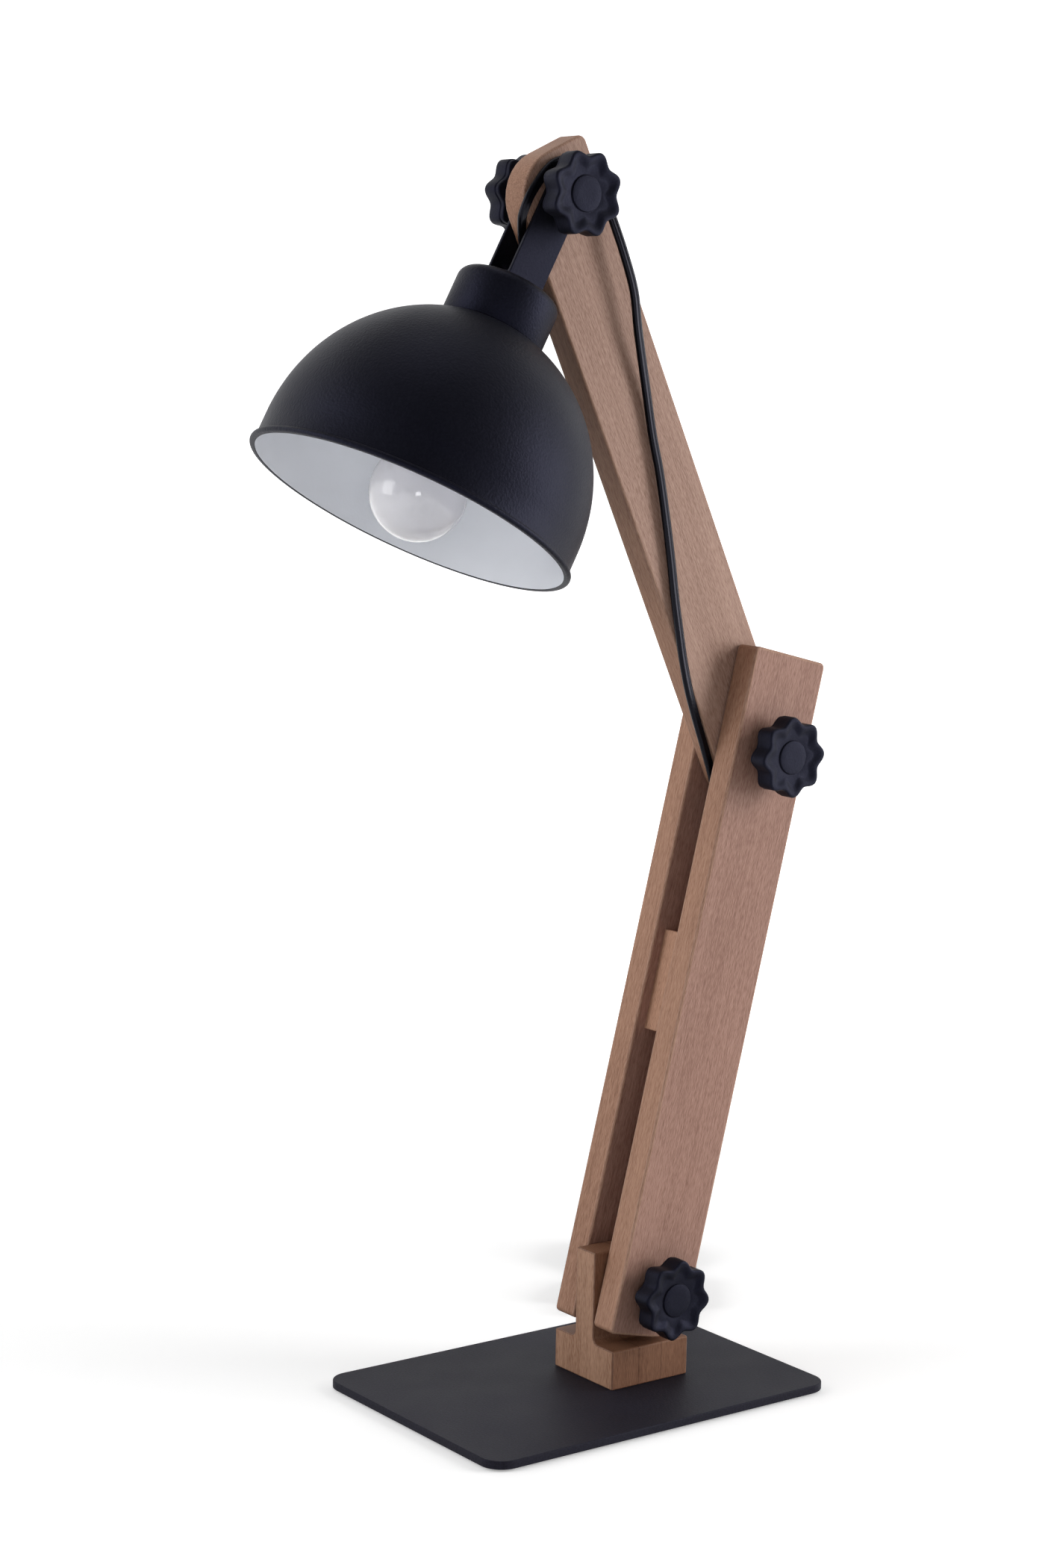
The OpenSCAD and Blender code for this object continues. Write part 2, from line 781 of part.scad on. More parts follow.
// Cord: tubes swept along hand-placed points

function unit(v) = v / norm(v);
function all_but_first(p) = [for (i = [1 : len(p) - 1]) p[i]];

// A point a share t of the way from b to c on a smooth curve through a, b, c and d
function between(a, b, c, d, t) = let (slope_b = (c - a) / 2, slope_c = (d - b) / 2)
    b + t * (slope_b + t * (3 * (c - b) - 2 * slope_b - slope_c + t * (2 * (b - c) + slope_b + slope_c)));

// Points on a smooth curve through p, with n steps between neighbours
function smooth(p, n) = let (last = len(p) - 1) concat(
    [for (i = [0 : last - 1], k = [0 : n - 1])
        between(p[max(i - 1, 0)], p[i], p[i + 1], p[min(i + 2, last)], k / n)],
    [p[last]]
);

// One closed tube along p from point first to point last; side is a direction that p never runs along
module tube(p, first, last, side, sides) {
    end = (last - first) * sides;
    rings = [for (i = [first : last]) let (
        t = unit(p[min(i + 1, len(p) - 1)] - p[max(i - 1, 0)]), u = unit(cross(t, side)), v = cross(t, u)
    ) each [for (k = [0 : sides - 1]) let (a = 360 * k / sides) p[i] + cord_r * (cos(a) * u + sin(a) * v)]];
    walls = [for (i = [0 : last - first - 1], k = [0 : sides - 1]) let (
        a = i * sides + k, b = i * sides + (k + 1) % sides
    ) each [[a, b, a + sides], [b, b + sides, a + sides]]];
    ends = [for (k = [1 : sides - 2]) each [[0, k + 1, k], [end, end + k, end + k + 1]]];
    color(black) polyhedron(rings, concat(walls, ends));
}

// Out of the grip, past the right bar and round the right knob's hub
head_route = concat(
    [for (q = [
        [0, 0, grip_top_z], [0, 0, grip_top_z + 3], [0.2, -1.3, -31.2], [1, -4.2, -27.7], [2.9, -8, -24.9],
        [5.3, -11.8, -22.1], [7.7, -14.9, -19.4], [9.5, -16.6, -15.2], [10.2, -17.1, -10], [10.2, -16.4, -4.4]
    ]) from_head(q)],
    [for (q = [
        [9.9, -7.4, 298.2], [9.7, -0.8, 299.9], [9.6, 5.8, 299], [9.6, 11.6, 295.6], [9.6, 15.8, 290.2],
        [10.2, 18, 283], [11.4, 18.6, 275.2], [13, 17.8, 266]
    ]) from_upper(q)]
);
// Off the upper board's right face in a low bow, then down the face to its front edge
upper_route = [for (q = [
    [13, 17.8, 266], [14.8, 16.4, 250], [15, 14.8, 232], [13.6, 10.8, 214], [10.6, 6.2, 185], [10, 2.2, 166],
    [10, -1, 148], [10, -6, 127], [9.8, -10.5, 109], [9.6, -16, 89], [9.6, -20.5, 71], [9.5, -22.8, 61]
]) from_upper(q)];
// Off the upper board's front, in between the lower boards and to their rear
elbow_route = concat(
    [for (q = [[9.5, -22.8, 61], [8.6, -24.8, 46], [6.8, -25, 30], [5.2, -24.9, 14]]) from_upper(q)],
    [for (q = [
        [3.8, -16.6, 245.5], [2.4, -9, 232.5], [1.2, -1.4, 220], [0.4, 5.6, 208], [0, 11, 196], [0, 14, 184]
    ]) from_lower(q)]
);
// Straight down behind the spacer
lower_route = [for (z = [184, 170, 156, 142, 128, 114, 100, 86, 74, 62, 50]) from_lower([0, 14, z])];
// Out at the back, down behind the foot and onto the plate
base_route = [
    from_lower([0, 14, 50]), [0, 57, 83], [-1, 61, 71], [-3, 65, 57], [-6, 68, 43], [-10, 70, 30],
    [-16, 73, 18], [-25, 77, 9.6], [-36, 83, 7.2]
];
// Over the plate's rear edge and straight into the switch
lead_end = [switch_at.x - switch_l / 2 - switch_boot, switch_at.y, cord_z];
lead_route = [
    [-36, 83, 7.2], [-45, 91.5, 7.2], [-52, 101, 7.2],
    from_lay(lead_end - [cord_d, 0, 0]), from_lay(lead_end)
];

// The whole run from the head to the switch, and the points in it where its stretches end
upper_curve = smooth(upper_route, 2);
run = concat(
    head_route, all_but_first(upper_curve), all_but_first(elbow_route), all_but_first(lower_route),
    all_but_first(base_route), all_but_first(lead_route)
);
head_stop = len(head_route) - 1;
upper_stop = head_stop + len(upper_curve) - 1;
elbow_stop = upper_stop + len(elbow_route) - 1;
lower_stop = elbow_stop + len(lower_route) - 1;
base_stop = lower_stop + len(base_route) - 1;
lead_stop = base_stop + len(lead_route) - 1;

module run_stretch(first, last) {
    tube(run, first, last, [1, 0, 0], 8);
}

module cord_head() {
    run_stretch(0, head_stop);
}

module cord_upper() {
    run_stretch(head_stop, upper_stop);
}

module cord_elbow() {
    run_stretch(upper_stop, elbow_stop);
}

module cord_lower() {
    run_stretch(elbow_stop, lower_stop);
}

module cord_base() {
    run_stretch(lower_stop, base_stop);
}

module cord_lead() {
    run_stretch(base_stop, lead_stop);
}

// Out of the switch and down to the coil's lowest turn
link_start = [switch_at.x + switch_l / 2 + switch_boot, switch_at.y, cord_z];
link_end = coil_at + [-cord_d, -coil_r, coil_low_z];
link_route = [
    link_start, link_start + [cord_d, 0, 0], [64, -24.5, 5.4], [70, -25.9, 3.9],
    link_end - [cord_d, 0, 0], link_end
];

module cord_link() {
    at_lay() tube(link_route, 0, len(link_route) - 1, [0, 0, 1], 8);
}

// From the coil's top turn down to the plug
tail_start = coil_at + [-cord_d, coil_r, coil_top_z];
tail_end = plug_at + [plug_l + plug_boot, 0, plug_z];
tail_route = [
    tail_start, tail_start - [cord_d, 0, 0], [68, 24.6, 15.3], [60, 20.2, 11.9], [53, 15.6, 8.2],
    tail_end + [cord_d, 0, 0], tail_end
];

module cord_tail() {
    at_lay() tube(tail_route, 0, len(tail_route) - 1, [0, 0, 1], 8);
}

// The coil spirals in and out at a steady rate and climbs a layer in the half turn where it reverses
function coil_radius(t) = let (k = t / coil_sweep, f = k - 2 * floor(k / 2))
    coil_r - (coil_r - coil_in_r) * (1 - abs(1 - f));
function coil_climb(t, i) = i == coil_layers ? 0
    : min(1, max(0, (t - i * coil_sweep) * 2 + 0.5)) + coil_climb(t, i + 1);
function coil_point(t) = coil_at + [
    coil_radius(t) * sin(360 * t), -coil_radius(t) * cos(360 * t), coil_low_z + coil_pitch * coil_climb(t, 1)
];
loop_rings = 24;
coil_steps = round(loop_rings * coil_turns);
coil_points = concat(
    [link_end], [for (i = [0 : coil_steps]) coil_point(coil_turns * i / coil_steps)], [tail_start]
);
coil_gap = min([for (i = [0 : len(coil_points) - 1], j = [i + loop_rings / 2 : 1 : len(coil_points) - 1])
    norm(coil_points[i] - coil_points[j])]) - cord_d;

module cord_coil() {
    echo(coil_least_gap = coil_gap);
    at_lay() tube(coil_points, 0, len(coil_points) - 1, [0, 0, 1], 6);
}

// A band round the coil's bundle of turns on its far side
module coil_tie() {
    wide = coil_r - coil_in_r + cord_d + 2 * tie_clear;
    high = coil_top_z - coil_low_z + cord_d + 2 * tie_clear;
    near = coil_at.x + coil_in_r - cord_r - tie_clear;
    color(black) at_lay() translate([near, -tie_w / 2, tie_t]) difference() {
        translate([-tie_t, 0, -tie_t]) cube([wide + 2 * tie_t, tie_w, high + 2 * tie_t]);
        translate([0, -1, 0]) cube([wide, tie_w + 2, high]);
    }
}

// Switch and plug, lying on the table

module switch_half(z, h) {
    translate([0, 0, z]) linear_extrude(h) round_rect(switch_l, switch_w, 6);
}

// The way that is cut for the rocker, from z0 to z1
module switch_window(z0, z1) {
    translate([0, 0, z0]) linear_extrude(z1 - z0) square([window_l, window_w], center = true);
}

module switch_base() {
    color(black) at_lay() translate(switch_at) difference() {
        union() {
            switch_half(0, switch_base_h);
            for (s = [-1, 1]) translate([s * switch_l / 2, 0, cord_z]) rotate([0, s * 90, 0])
                cylinder(r1 = cord_r + 2.5, r2 = cord_r + 1, h = switch_boot);
        }
        switch_window(switch_base_h - 4, switch_base_h + 1);
    }
}

module switch_cover() {
    color(black) at_lay() translate(switch_at) difference() {
        switch_half(switch_base_h, switch_cover_h);
        switch_window(switch_base_h - 1, switch_base_h + switch_cover_h + 1);
        translate([0, 0, rocker_z]) rotate([90, 0, 0])
            cylinder(r = rocker_pin_r + run_clear, h = window_w + 2 * rocker_pin_l, center = true);
    }
}

// The rocker's ends are round about its pin, and its top is two flats that lean to either side
module switch_rocker() {
    crown = 5;
    keel = 4.5;
    pin_span = window_w + 2 * (rocker_pin_l - free_clear);
    color(black) at_lay() translate(switch_at + [0, 0, rocker_z]) rotate([0, -rocker_lean, 0]) union() {
        intersection() {
            rotate([90, 0, 0]) cylinder(r = rocker_r, h = rocker_w, center = true);
            rotate([90, 0, 0]) linear_extrude(rocker_w + 2, center = true) polygon([
                [-2 * rocker_r, -keel], [2 * rocker_r, -keel],
                [2 * rocker_r, crown + 2 * rocker_r * tan(rocker_lean)], [0, crown],
                [-2 * rocker_r, crown + 2 * rocker_r * tan(rocker_lean)]
            ]);
        }
        rotate([90, 0, 0]) cylinder(r = rocker_pin_r, h = pin_span, center = true);
    }
}

module plug_body() {
    rear_w = 14;
    color(black) at_lay() translate(plug_at) difference() {
        union() {
            linear_extrude(plug_t) polygon([
                [0, -plug_w / 2], [plug_l * 0.4, -plug_w / 2], [plug_l, -rear_w / 2],
                [plug_l, rear_w / 2], [plug_l * 0.4, plug_w / 2], [0, plug_w / 2]
            ]);
            translate([plug_l, 0, plug_z]) rotate([0, 90, 0])
                cylinder(r1 = cord_r + 3, r2 = cord_r + 1, h = plug_boot);
        }
        for (s = [-1, 1]) plug_pin(s, seat_clear);
    }
}

// A pin seated in the plug's front, in the plug's own frame
module plug_pin(s, grow = 0) {
    seat = 8;
    translate([seat + grow, s * pin_gap / 2, plug_z]) rotate([0, -90, 0])
        cylinder(d = pin_d + 2 * grow, h = pin_l + seat + grow);
}

module plug_pin_left() {
    color(steel) at_lay() translate(plug_at) plug_pin(-1);
}

module plug_pin_right() {
    color(steel) at_lay() translate(plug_at) plug_pin(1);
}

base_pad();
base_plate();
foot_front_layer();
foot_middle_layer_block();
foot_rear_layer();
foot_screw_front();
foot_screw_rear();
lower_board_left();
lower_board_right();
spacer();
spacer_dowel_low();
spacer_dowel_high();
base_bolt();
elbow_bolt();
base_washer_left();
base_washer_right();
elbow_washer_left();
elbow_washer_right();
upper_board();
head_stud();
yoke();
neck_cup();
shade();
nut_upper();
nut_lower();
nipple();
cord_grip();
holder_dome();
holder_body();
holder_ring();
bulb_cap();
bulb_globe();
base_knob();
base_knob_insert();
base_knob_cap();
elbow_knob();
elbow_knob_insert();
elbow_knob_cap();
head_knob_left();
head_knob_left_insert();
head_knob_left_cap();
head_knob_right();
head_knob_right_insert();
head_knob_right_cap();
cord_head();
cord_upper();
cord_elbow();
cord_lower();
cord_base();
cord_lead();
cord_link();
cord_coil();
cord_tail();
coil_tie();
switch_base();
switch_cover();
switch_rocker();
plug_body();
plug_pin_left();
plug_pin_right();
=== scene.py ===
"""A jointed wooden table lamp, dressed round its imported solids."""

import math

import bmesh
import bpy
from mathutils import Matrix, Vector


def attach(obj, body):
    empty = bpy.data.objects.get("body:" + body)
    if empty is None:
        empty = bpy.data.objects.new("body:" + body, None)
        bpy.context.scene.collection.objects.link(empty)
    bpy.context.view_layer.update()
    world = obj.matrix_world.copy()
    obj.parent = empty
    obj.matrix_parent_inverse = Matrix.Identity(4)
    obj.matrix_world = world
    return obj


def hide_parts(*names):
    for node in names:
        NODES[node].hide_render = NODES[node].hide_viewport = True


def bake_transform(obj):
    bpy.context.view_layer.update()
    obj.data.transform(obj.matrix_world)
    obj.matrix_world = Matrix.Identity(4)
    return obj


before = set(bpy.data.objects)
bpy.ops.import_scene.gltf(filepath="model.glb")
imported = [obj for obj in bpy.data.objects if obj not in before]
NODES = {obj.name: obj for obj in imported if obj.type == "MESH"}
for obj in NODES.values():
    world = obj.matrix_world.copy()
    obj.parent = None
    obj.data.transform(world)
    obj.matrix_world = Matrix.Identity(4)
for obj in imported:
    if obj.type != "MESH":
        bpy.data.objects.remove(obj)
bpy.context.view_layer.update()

# Sizes are in millimetres, as in the part's source, and become metres when a piece is placed
MM = 0.001

# Camera, fitted to the photograph
IMAGE_H = 2100
FOCAL_PX = 4008.16
SENSOR_W = 36.0
CAMERA_AT = Vector((1092.93, -853.28, 487.72))
CAMERA_AZIMUTH = math.radians(53.3535)
CAMERA_ELEVATION = math.radians(7.9764)
CAMERA_ROLL = math.radians(1.1149)

# Pivots and leans
BASE_PIVOT = Vector((0, 29, 49.2))
LOWER_LEAN = 13.7
LOWER_SPAN = 263.6
UPPER_LEAN = 25.4
UPPER_SPAN = 285
ELBOW_OFFSET = 1.2
HEAD_LEAN = 28.2

# Where the put-away cord lies, and how far it is turned about Z
LAY_AT = (-85, 100, 0)
LAY_TURN = 140


def up_arm(lean):
    """The direction up an arm that leans back by lean degrees."""
    return Vector((0, math.sin(math.radians(lean)), math.cos(math.radians(lean))))


ELBOW_PIVOT = BASE_PIVOT + LOWER_SPAN * up_arm(LOWER_LEAN)
UPPER_ORIGIN = ELBOW_PIVOT + ELBOW_OFFSET * up_arm(90 - UPPER_LEAN)
HEAD_PIVOT = UPPER_ORIGIN + UPPER_SPAN * up_arm(-UPPER_LEAN)


def placed(at, turn, axis="X"):
    """From millimetres in a frame at a point, turned about an axis, to metres in the row frame."""
    return Matrix.Scale(MM, 4) @ Matrix.Translation(at) @ Matrix.Rotation(math.radians(turn), 4, axis)


ROW = placed((0, 0, 0), 0)
LOWER = placed(BASE_PIVOT, -LOWER_LEAN)
UPPER = placed(UPPER_ORIGIN, UPPER_LEAN)
HEAD = placed(HEAD_PIVOT, -HEAD_LEAN)
LAY = placed(LAY_AT, LAY_TURN, "Z")


# Camera

def camera_axes():
    """The camera's right, up and back directions."""
    back = Vector((
        math.sin(CAMERA_AZIMUTH) * math.cos(CAMERA_ELEVATION),
        -math.cos(CAMERA_AZIMUTH) * math.cos(CAMERA_ELEVATION),
        math.sin(CAMERA_ELEVATION),
    ))
    level = Vector((math.cos(CAMERA_AZIMUTH), math.sin(CAMERA_AZIMUTH), 0))
    rise = back.cross(level)
    right = level * math.cos(CAMERA_ROLL) + rise * math.sin(CAMERA_ROLL)
    return right, back.cross(right), back


def add_camera():
    """A camera with the photograph's view."""
    data = bpy.data.cameras.new("camera")
    data.sensor_width = SENSOR_W
    data.lens = FOCAL_PX * SENSOR_W / IMAGE_H
    camera = bpy.data.objects.new("camera", data)
    turn = Matrix(camera_axes()).transposed().to_4x4()
    camera.matrix_world = Matrix.Translation(CAMERA_AT * MM) @ turn
    bpy.context.scene.collection.objects.link(camera)
    bpy.context.scene.camera = camera


# Meshes

SHARP_EDGE = 40
WELD_GAP = 0.01
EDGE_STEPS = 3
# The places of a slab's three materials in its list
FACE = 0
RIM = 1
WALL = 2


def add_mesh(name, points, faces, materials, face_slots=None, sharp=SHARP_EDGE):
    """A closed mesh of points in metres, smooth except at edges sharper than sharp degrees."""
    mesh = bpy.data.meshes.new(name)
    mesh.from_pydata(points, [], faces)
    for material in materials:
        mesh.materials.append(material)
    if face_slots:
        mesh.polygons.foreach_set("material_index", face_slots)
    made = bmesh.new()
    made.from_mesh(mesh)
    bmesh.ops.recalc_face_normals(made, faces=made.faces)
    made.to_mesh(mesh)
    made.free()
    mesh.polygons.foreach_set("use_smooth", [True] * len(mesh.polygons))
    mesh.set_sharp_from_angle(angle=math.radians(sharp))
    piece = bpy.data.objects.new(name, mesh)
    bpy.context.scene.collection.objects.link(piece)
    return piece


def flatten_shading(piece):
    """Keeps large flats looking flat beside their rounded edges."""
    weighted = piece.modifiers.new("flats", "WEIGHTED_NORMAL")
    weighted.keep_sharp = True


def ring_faces(rings, size, capped=True):
    """Faces of a loft through rings of size points each; where capped, one face closes each end."""
    faces = []
    for i in range(rings - 1):
        for k in range(size):
            n = (k + 1) % size
            faces.append((i * size + k, i * size + n, (i + 1) * size + n, (i + 1) * size + k))
    if capped:
        faces.append(tuple(reversed(range(size))))
        faces.append(tuple(range((rings - 1) * size, rings * size)))
    return faces


def dress(material, *nodes):
    """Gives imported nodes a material."""
    for name in nodes:
        for held in NODES[name].material_slots:
            held.material = material


def soften(radius, *nodes):
    """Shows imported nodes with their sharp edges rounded."""
    for name in nodes:
        piece = NODES[name]
        kept_normals = piece.data.attributes.get("custom_normal")
        if kept_normals:
            piece.data.attributes.remove(kept_normals)
        weld = piece.modifiers.new("weld", "WELD")
        weld.merge_threshold = WELD_GAP * MM
        bevel = piece.modifiers.new("edges", "BEVEL")
        bevel.width = radius * MM
        bevel.segments = EDGE_STEPS
        bevel.limit_method = "ANGLE"
        bevel.angle_limit = math.radians(SHARP_EDGE)
        flatten_shading(piece)


def finish_piece(piece, body, slot, *nodes):
    """Rides a piece on its body, if it has just one, in the place of the nodes that it stands for."""
    if body:
        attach(piece, body)
    if nodes:
        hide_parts(*nodes)
    return piece


def rounded(corners, steps=8):
    """A closed outline, counter-clockwise, from (u, v, radius) corners."""
    outline = []
    for i, (u, v, radius) in enumerate(corners):
        corner = Vector((u, v))
        before = (Vector(corners[i - 1][:2]) - corner).normalized()
        after = (Vector(corners[(i + 1) % len(corners)][:2]) - corner).normalized()
        half = before.angle(after) / 2
        centre = corner + (before + after).normalized() * radius / math.sin(half)
        reach = radius / math.tan(half)
        first = corner + before * reach - centre
        last = corner + after * reach - centre
        turn = math.atan2(first.x * last.y - first.y * last.x, first.dot(last))
        for k in range(steps + 1):
            outline.append(centre + Matrix.Rotation(turn * k / steps, 2) @ first)
    return outline


def drawn_in(outline, distance):
    """An outline moved inwards by a distance."""
    least_lean = 0.5
    moved = []
    for i, p in enumerate(outline):
        before = (p - outline[i - 1]).normalized()
        after = (outline[(i + 1) % len(outline)] - p).normalized()
        inward = Vector((-before.y - after.y, before.x + after.x)).normalized()
        lean = max(least_lean, inward.dot(Vector((-after.y, after.x))))
        moved.append(p + inward * distance / lean)
    return moved


def slab(name, outline, low, high, ease_low, ease_high, put, materials):
    """An outline drawn out from low to high with its two rims rounded; put places (u, v, w) in metres.

    The materials are those of its two faces, its rims and its wall.
    """
    steps = 4
    levels = []
    for k in range(steps + 1):
        a = math.pi / 2 * k / steps
        levels.append((low + ease_low * (1 - math.cos(a)), ease_low * (1 - math.sin(a))))
    for k in range(steps + 1):
        a = math.pi / 2 * k / steps
        levels.append((high - ease_high * (1 - math.sin(a)), ease_high * (1 - math.cos(a))))
    points = []
    for w, inset in levels:
        points += [put(p.x, p.y, w) for p in drawn_in(outline, inset)]
    faces = ring_faces(len(levels), len(outline))
    sides = [WALL if i == steps else RIM for i in range(len(levels) - 1) for _ in outline]
    piece = add_mesh(name, points, faces, materials, sides + [FACE, FACE])
    flatten_shading(piece)
    return piece


def revolve(name, profile, place, materials, slots=None, segments=128):
    """A closed profile of (radius, height) points turned about the local Z.

    The slots give a material for each span of the profile.
    """
    points = []
    for r, z in profile:
        for k in range(segments):
            a = 2 * math.pi * k / segments
            points.append(place @ Vector((r * math.cos(a), r * math.sin(a), z)))
    faces = ring_faces(len(profile), segments, capped=False)
    last = (len(profile) - 1) * segments
    for k in range(segments):
        n = (k + 1) % segments
        faces.append((last + k, last + n, n, k))
    face_slots = None
    if slots:
        face_slots = [s for s in slots for _ in range(segments)]
    return add_mesh(name, points, faces, materials, face_slots)


# Materials

def node(tree, kind, settings=None, **inputs):
    """A shader node with its settings made and its sockets set or linked."""
    made = tree.nodes.new(kind)
    for name, value in (settings or {}).items():
        setattr(made, name, value)
    for name, value in inputs.items():
        socket = made.inputs[name.replace("_", " ")]
        if isinstance(value, bpy.types.NodeSocket):
            tree.links.new(value, socket)
        else:
            socket.default_value = value
    return made


def start_material(name, color, roughness, metallic=0.0, specular=0.5):
    """A material with its node tree and its shader, whose plain values are set."""
    material = bpy.data.materials.new(name)
    material.use_nodes = True
    tree = material.node_tree
    shader = tree.nodes["Principled BSDF"]
    shader.inputs["Base Color"].default_value = (*color, 1)
    shader.inputs["Roughness"].default_value = roughness
    shader.inputs["Metallic"].default_value = metallic
    shader.inputs["Specular IOR Level"].default_value = specular
    return material, tree, shader


def here(tree):
    """Where a point lies in the row frame at rest."""
    return node(tree, "ShaderNodeTexCoord").outputs["Object"]


def noise(tree, vector, scale=1.0, detail=2.0, roughness=0.5):
    """A cloudy factor with scale features to the unit."""
    return node(tree, "ShaderNodeTexNoise", Vector=vector, Scale=scale, Detail=detail,
                Roughness=roughness).outputs["Fac"]


def scaled(tree, vector, scale, turn=0.0, shift=0.0):
    """A vector turned about X by degrees, shifted and then stretched along each axis."""
    turned = node(tree, "ShaderNodeMapping", Vector=vector, Rotation=(math.radians(turn), 0, 0),
                  Location=(shift, shift, shift)).outputs["Vector"]
    return node(tree, "ShaderNodeMapping", Vector=turned, Scale=scale).outputs["Vector"]


def ramp(tree, factor, stops):
    """A colour from a factor by (place, colour) stops."""
    made = node(tree, "ShaderNodeValToRGB", Fac=factor)
    elements = made.color_ramp.elements
    while len(elements) < len(stops):
        elements.new(1.0)
    for element, (place, color) in zip(elements, stops):
        element.position = place
        element.color = (*color, 1)
    return made.outputs["Color"]


def span(tree, factor, low, high):
    """A factor from 0 to 1 stretched to run from low to high."""
    return node(tree, "ShaderNodeMapRange", Value=factor, To_Min=low, To_Max=high).outputs["Result"]


def combine(tree, operation, first, second):
    """Two factors put together by a sum, a product or the like."""
    made = node(tree, "ShaderNodeMath", {"operation": operation})
    for socket, value in zip(made.inputs, (first, second)):
        if isinstance(value, bpy.types.NodeSocket):
            tree.links.new(value, socket)
        else:
            socket.default_value = value
    return made.outputs[0]


def sum_of(tree, *parts):
    """The sum of (factor, share) parts."""
    shares = [combine(tree, "MULTIPLY", factor, share) for factor, share in parts]
    total = shares[0]
    for share in shares[1:]:
        total = combine(tree, "ADD", total, share)
    return total


def bump(tree, shader, height, strength, distance):
    """Raises a shader's surface by a factor, up to a distance in metres."""
    made = node(tree, "ShaderNodeBump", Height=height, Strength=strength, Distance=distance)
    tree.links.new(made.outputs["Normal"], shader.inputs["Normal"])


def lifted(color, amount):
    """A colour moved towards white by a share."""
    return tuple(c + (1 - c) * amount for c in color)


def times(color, share):
    """A colour made darker or lighter by a share."""
    return tuple(c * share for c in color)


def tinted(color, shares):
    """A colour with each of its channels made darker or lighter by its own share."""
    return tuple(c * s for c, s in zip(color, shares))


# Features of the wood's grain to the metre, across it twice and along it, and their shares of its colour
BANDS = (60, 60, 4.0)
STREAKS = (1000, 1000, 24)
FLECKS = (2900, 2900, 300)
BAND_SHARE = 0.22
STREAK_SHARE = 0.28
FLECK_SHARE = 0.50
# The grain's darkest and lightest shares of the wood's colour, and how much paler its rims are painted, as
# a painted highlight along the eased edges
WOOD_DARK = (0.68, 0.62, 0.58)
WOOD_LIGHT = (1.24, 1.30, 1.32)
RIM_HIGHLIGHT_LIFT = 0.03


def wood(name, turn, mid, shift):
    """Stained beech with its grain along Z after a turn about X: slow bands, streaks and short flecks."""
    dark = tinted(mid, WOOD_DARK)
    light = tinted(mid, WOOD_LIGHT)
    material, tree, shader = start_material(name, mid, roughness=0.55, specular=0.2)
    place = here(tree)
    band = noise(tree, scaled(tree, place, BANDS, turn, shift))
    streak = noise(tree, scaled(tree, place, STREAKS, turn, shift), detail=3.0, roughness=0.6)
    fleck = noise(tree, scaled(tree, place, FLECKS, turn, shift))
    grain = sum_of(tree, (band, BAND_SHARE), (streak, STREAK_SHARE), (fleck, FLECK_SHARE))
    color = ramp(tree, grain, [(0.38, dark), (0.5, mid), (0.62, light)])
    tree.links.new(color, shader.inputs["Base Color"])
    tree.links.new(span(tree, streak, low=0.46, high=0.66), shader.inputs["Roughness"])
    bump(tree, shader, grain, strength=0.3, distance=0.0004)
    return material


def wood_set(name, turn, face, wall, shift):
    """Wood for a piece's two faces, its eased rims, paler as a painted highlight, and its wall."""
    return [
        wood(f"{name}_face", turn, face, shift),
        wood(f"{name}_rim", turn, lifted(wall, RIM_HIGHLIGHT_LIFT), shift),
        wood(f"{name}_wall", turn, wall, shift),
    ]


PLAIN_SHEEN = (0.9, 0.9, 1.0)


def textured_black(name, color, roughness, grain_mm, depth_mm, specular=0.2, sheen=PLAIN_SHEEN):
    """A dark coat, moulding or glue with a fine even texture and a tinted sheen."""
    material, tree, shader = start_material(name, color, roughness, specular=specular)
    shader.inputs["Specular Tint"].default_value = (*sheen, 1)
    place = here(tree)
    grain = noise(tree, place, scale=1000.0 / grain_mm)
    cloud = noise(tree, place, scale=35.0)
    pale = times(color, 1.35)
    deep = times(color, 0.75)
    mottle = sum_of(tree, (grain, 0.7), (cloud, 0.3))
    tree.links.new(ramp(tree, mottle, [(0.35, deep), (0.65, pale)]), shader.inputs["Base Color"])
    tree.links.new(span(tree, cloud, roughness - 0.06, roughness + 0.06), shader.inputs["Roughness"])
    bump(tree, shader, grain, strength=0.8, distance=depth_mm * MM)
    return material


def white_enamel(name, color, roughness):
    """A pale coat with a slight orange peel."""
    material, tree, shader = start_material(name, color, roughness, specular=0.4)
    place = here(tree)
    peel = noise(tree, place, scale=900.0)
    cloud = noise(tree, place, scale=30.0)
    dim = times(color, 0.96)
    tree.links.new(ramp(tree, cloud, [(0.35, dim), (0.65, color)]), shader.inputs["Base Color"])
    bump(tree, shader, peel, strength=0.25, distance=0.00012)
    return material


def bare_metal(name, color, roughness):
    """Plain or plated metal with fine turning marks."""
    material, tree, shader = start_material(name, color, roughness, metallic=1.0)
    place = here(tree)
    marks = noise(tree, place, scale=1500.0, detail=3.0)
    dim = times(color, 0.88)
    tree.links.new(ramp(tree, marks, [(0.3, dim), (0.7, color)]), shader.inputs["Base Color"])
    tree.links.new(span(tree, marks, roughness - 0.08, roughness + 0.1), shader.inputs["Roughness"])
    bump(tree, shader, marks, strength=0.1, distance=0.00002)
    return material


def opal_glass():
    """Milky white glass that lets some light through, with a clear gloss over it."""
    pale = (0.96, 0.945, 1.0)
    dim = (0.94, 0.925, 0.98)
    material, tree, shader = start_material("opal_glass", pale, roughness=0.55, specular=0.15)
    shader.inputs["Subsurface Weight"].default_value = 0.6
    shader.inputs["Subsurface Radius"].default_value = (1, 1, 1)
    shader.inputs["Subsurface Scale"].default_value = 0.012
    shader.inputs["Transmission Weight"].default_value = 0.55
    shader.inputs["Coat Weight"].default_value = 1.0
    shader.inputs["Coat Roughness"].default_value = 0.05
    cloud = noise(tree, here(tree), scale=60.0)
    tree.links.new(ramp(tree, cloud, [(0.3, dim), (0.7, pale)]), shader.inputs["Base Color"])
    return material


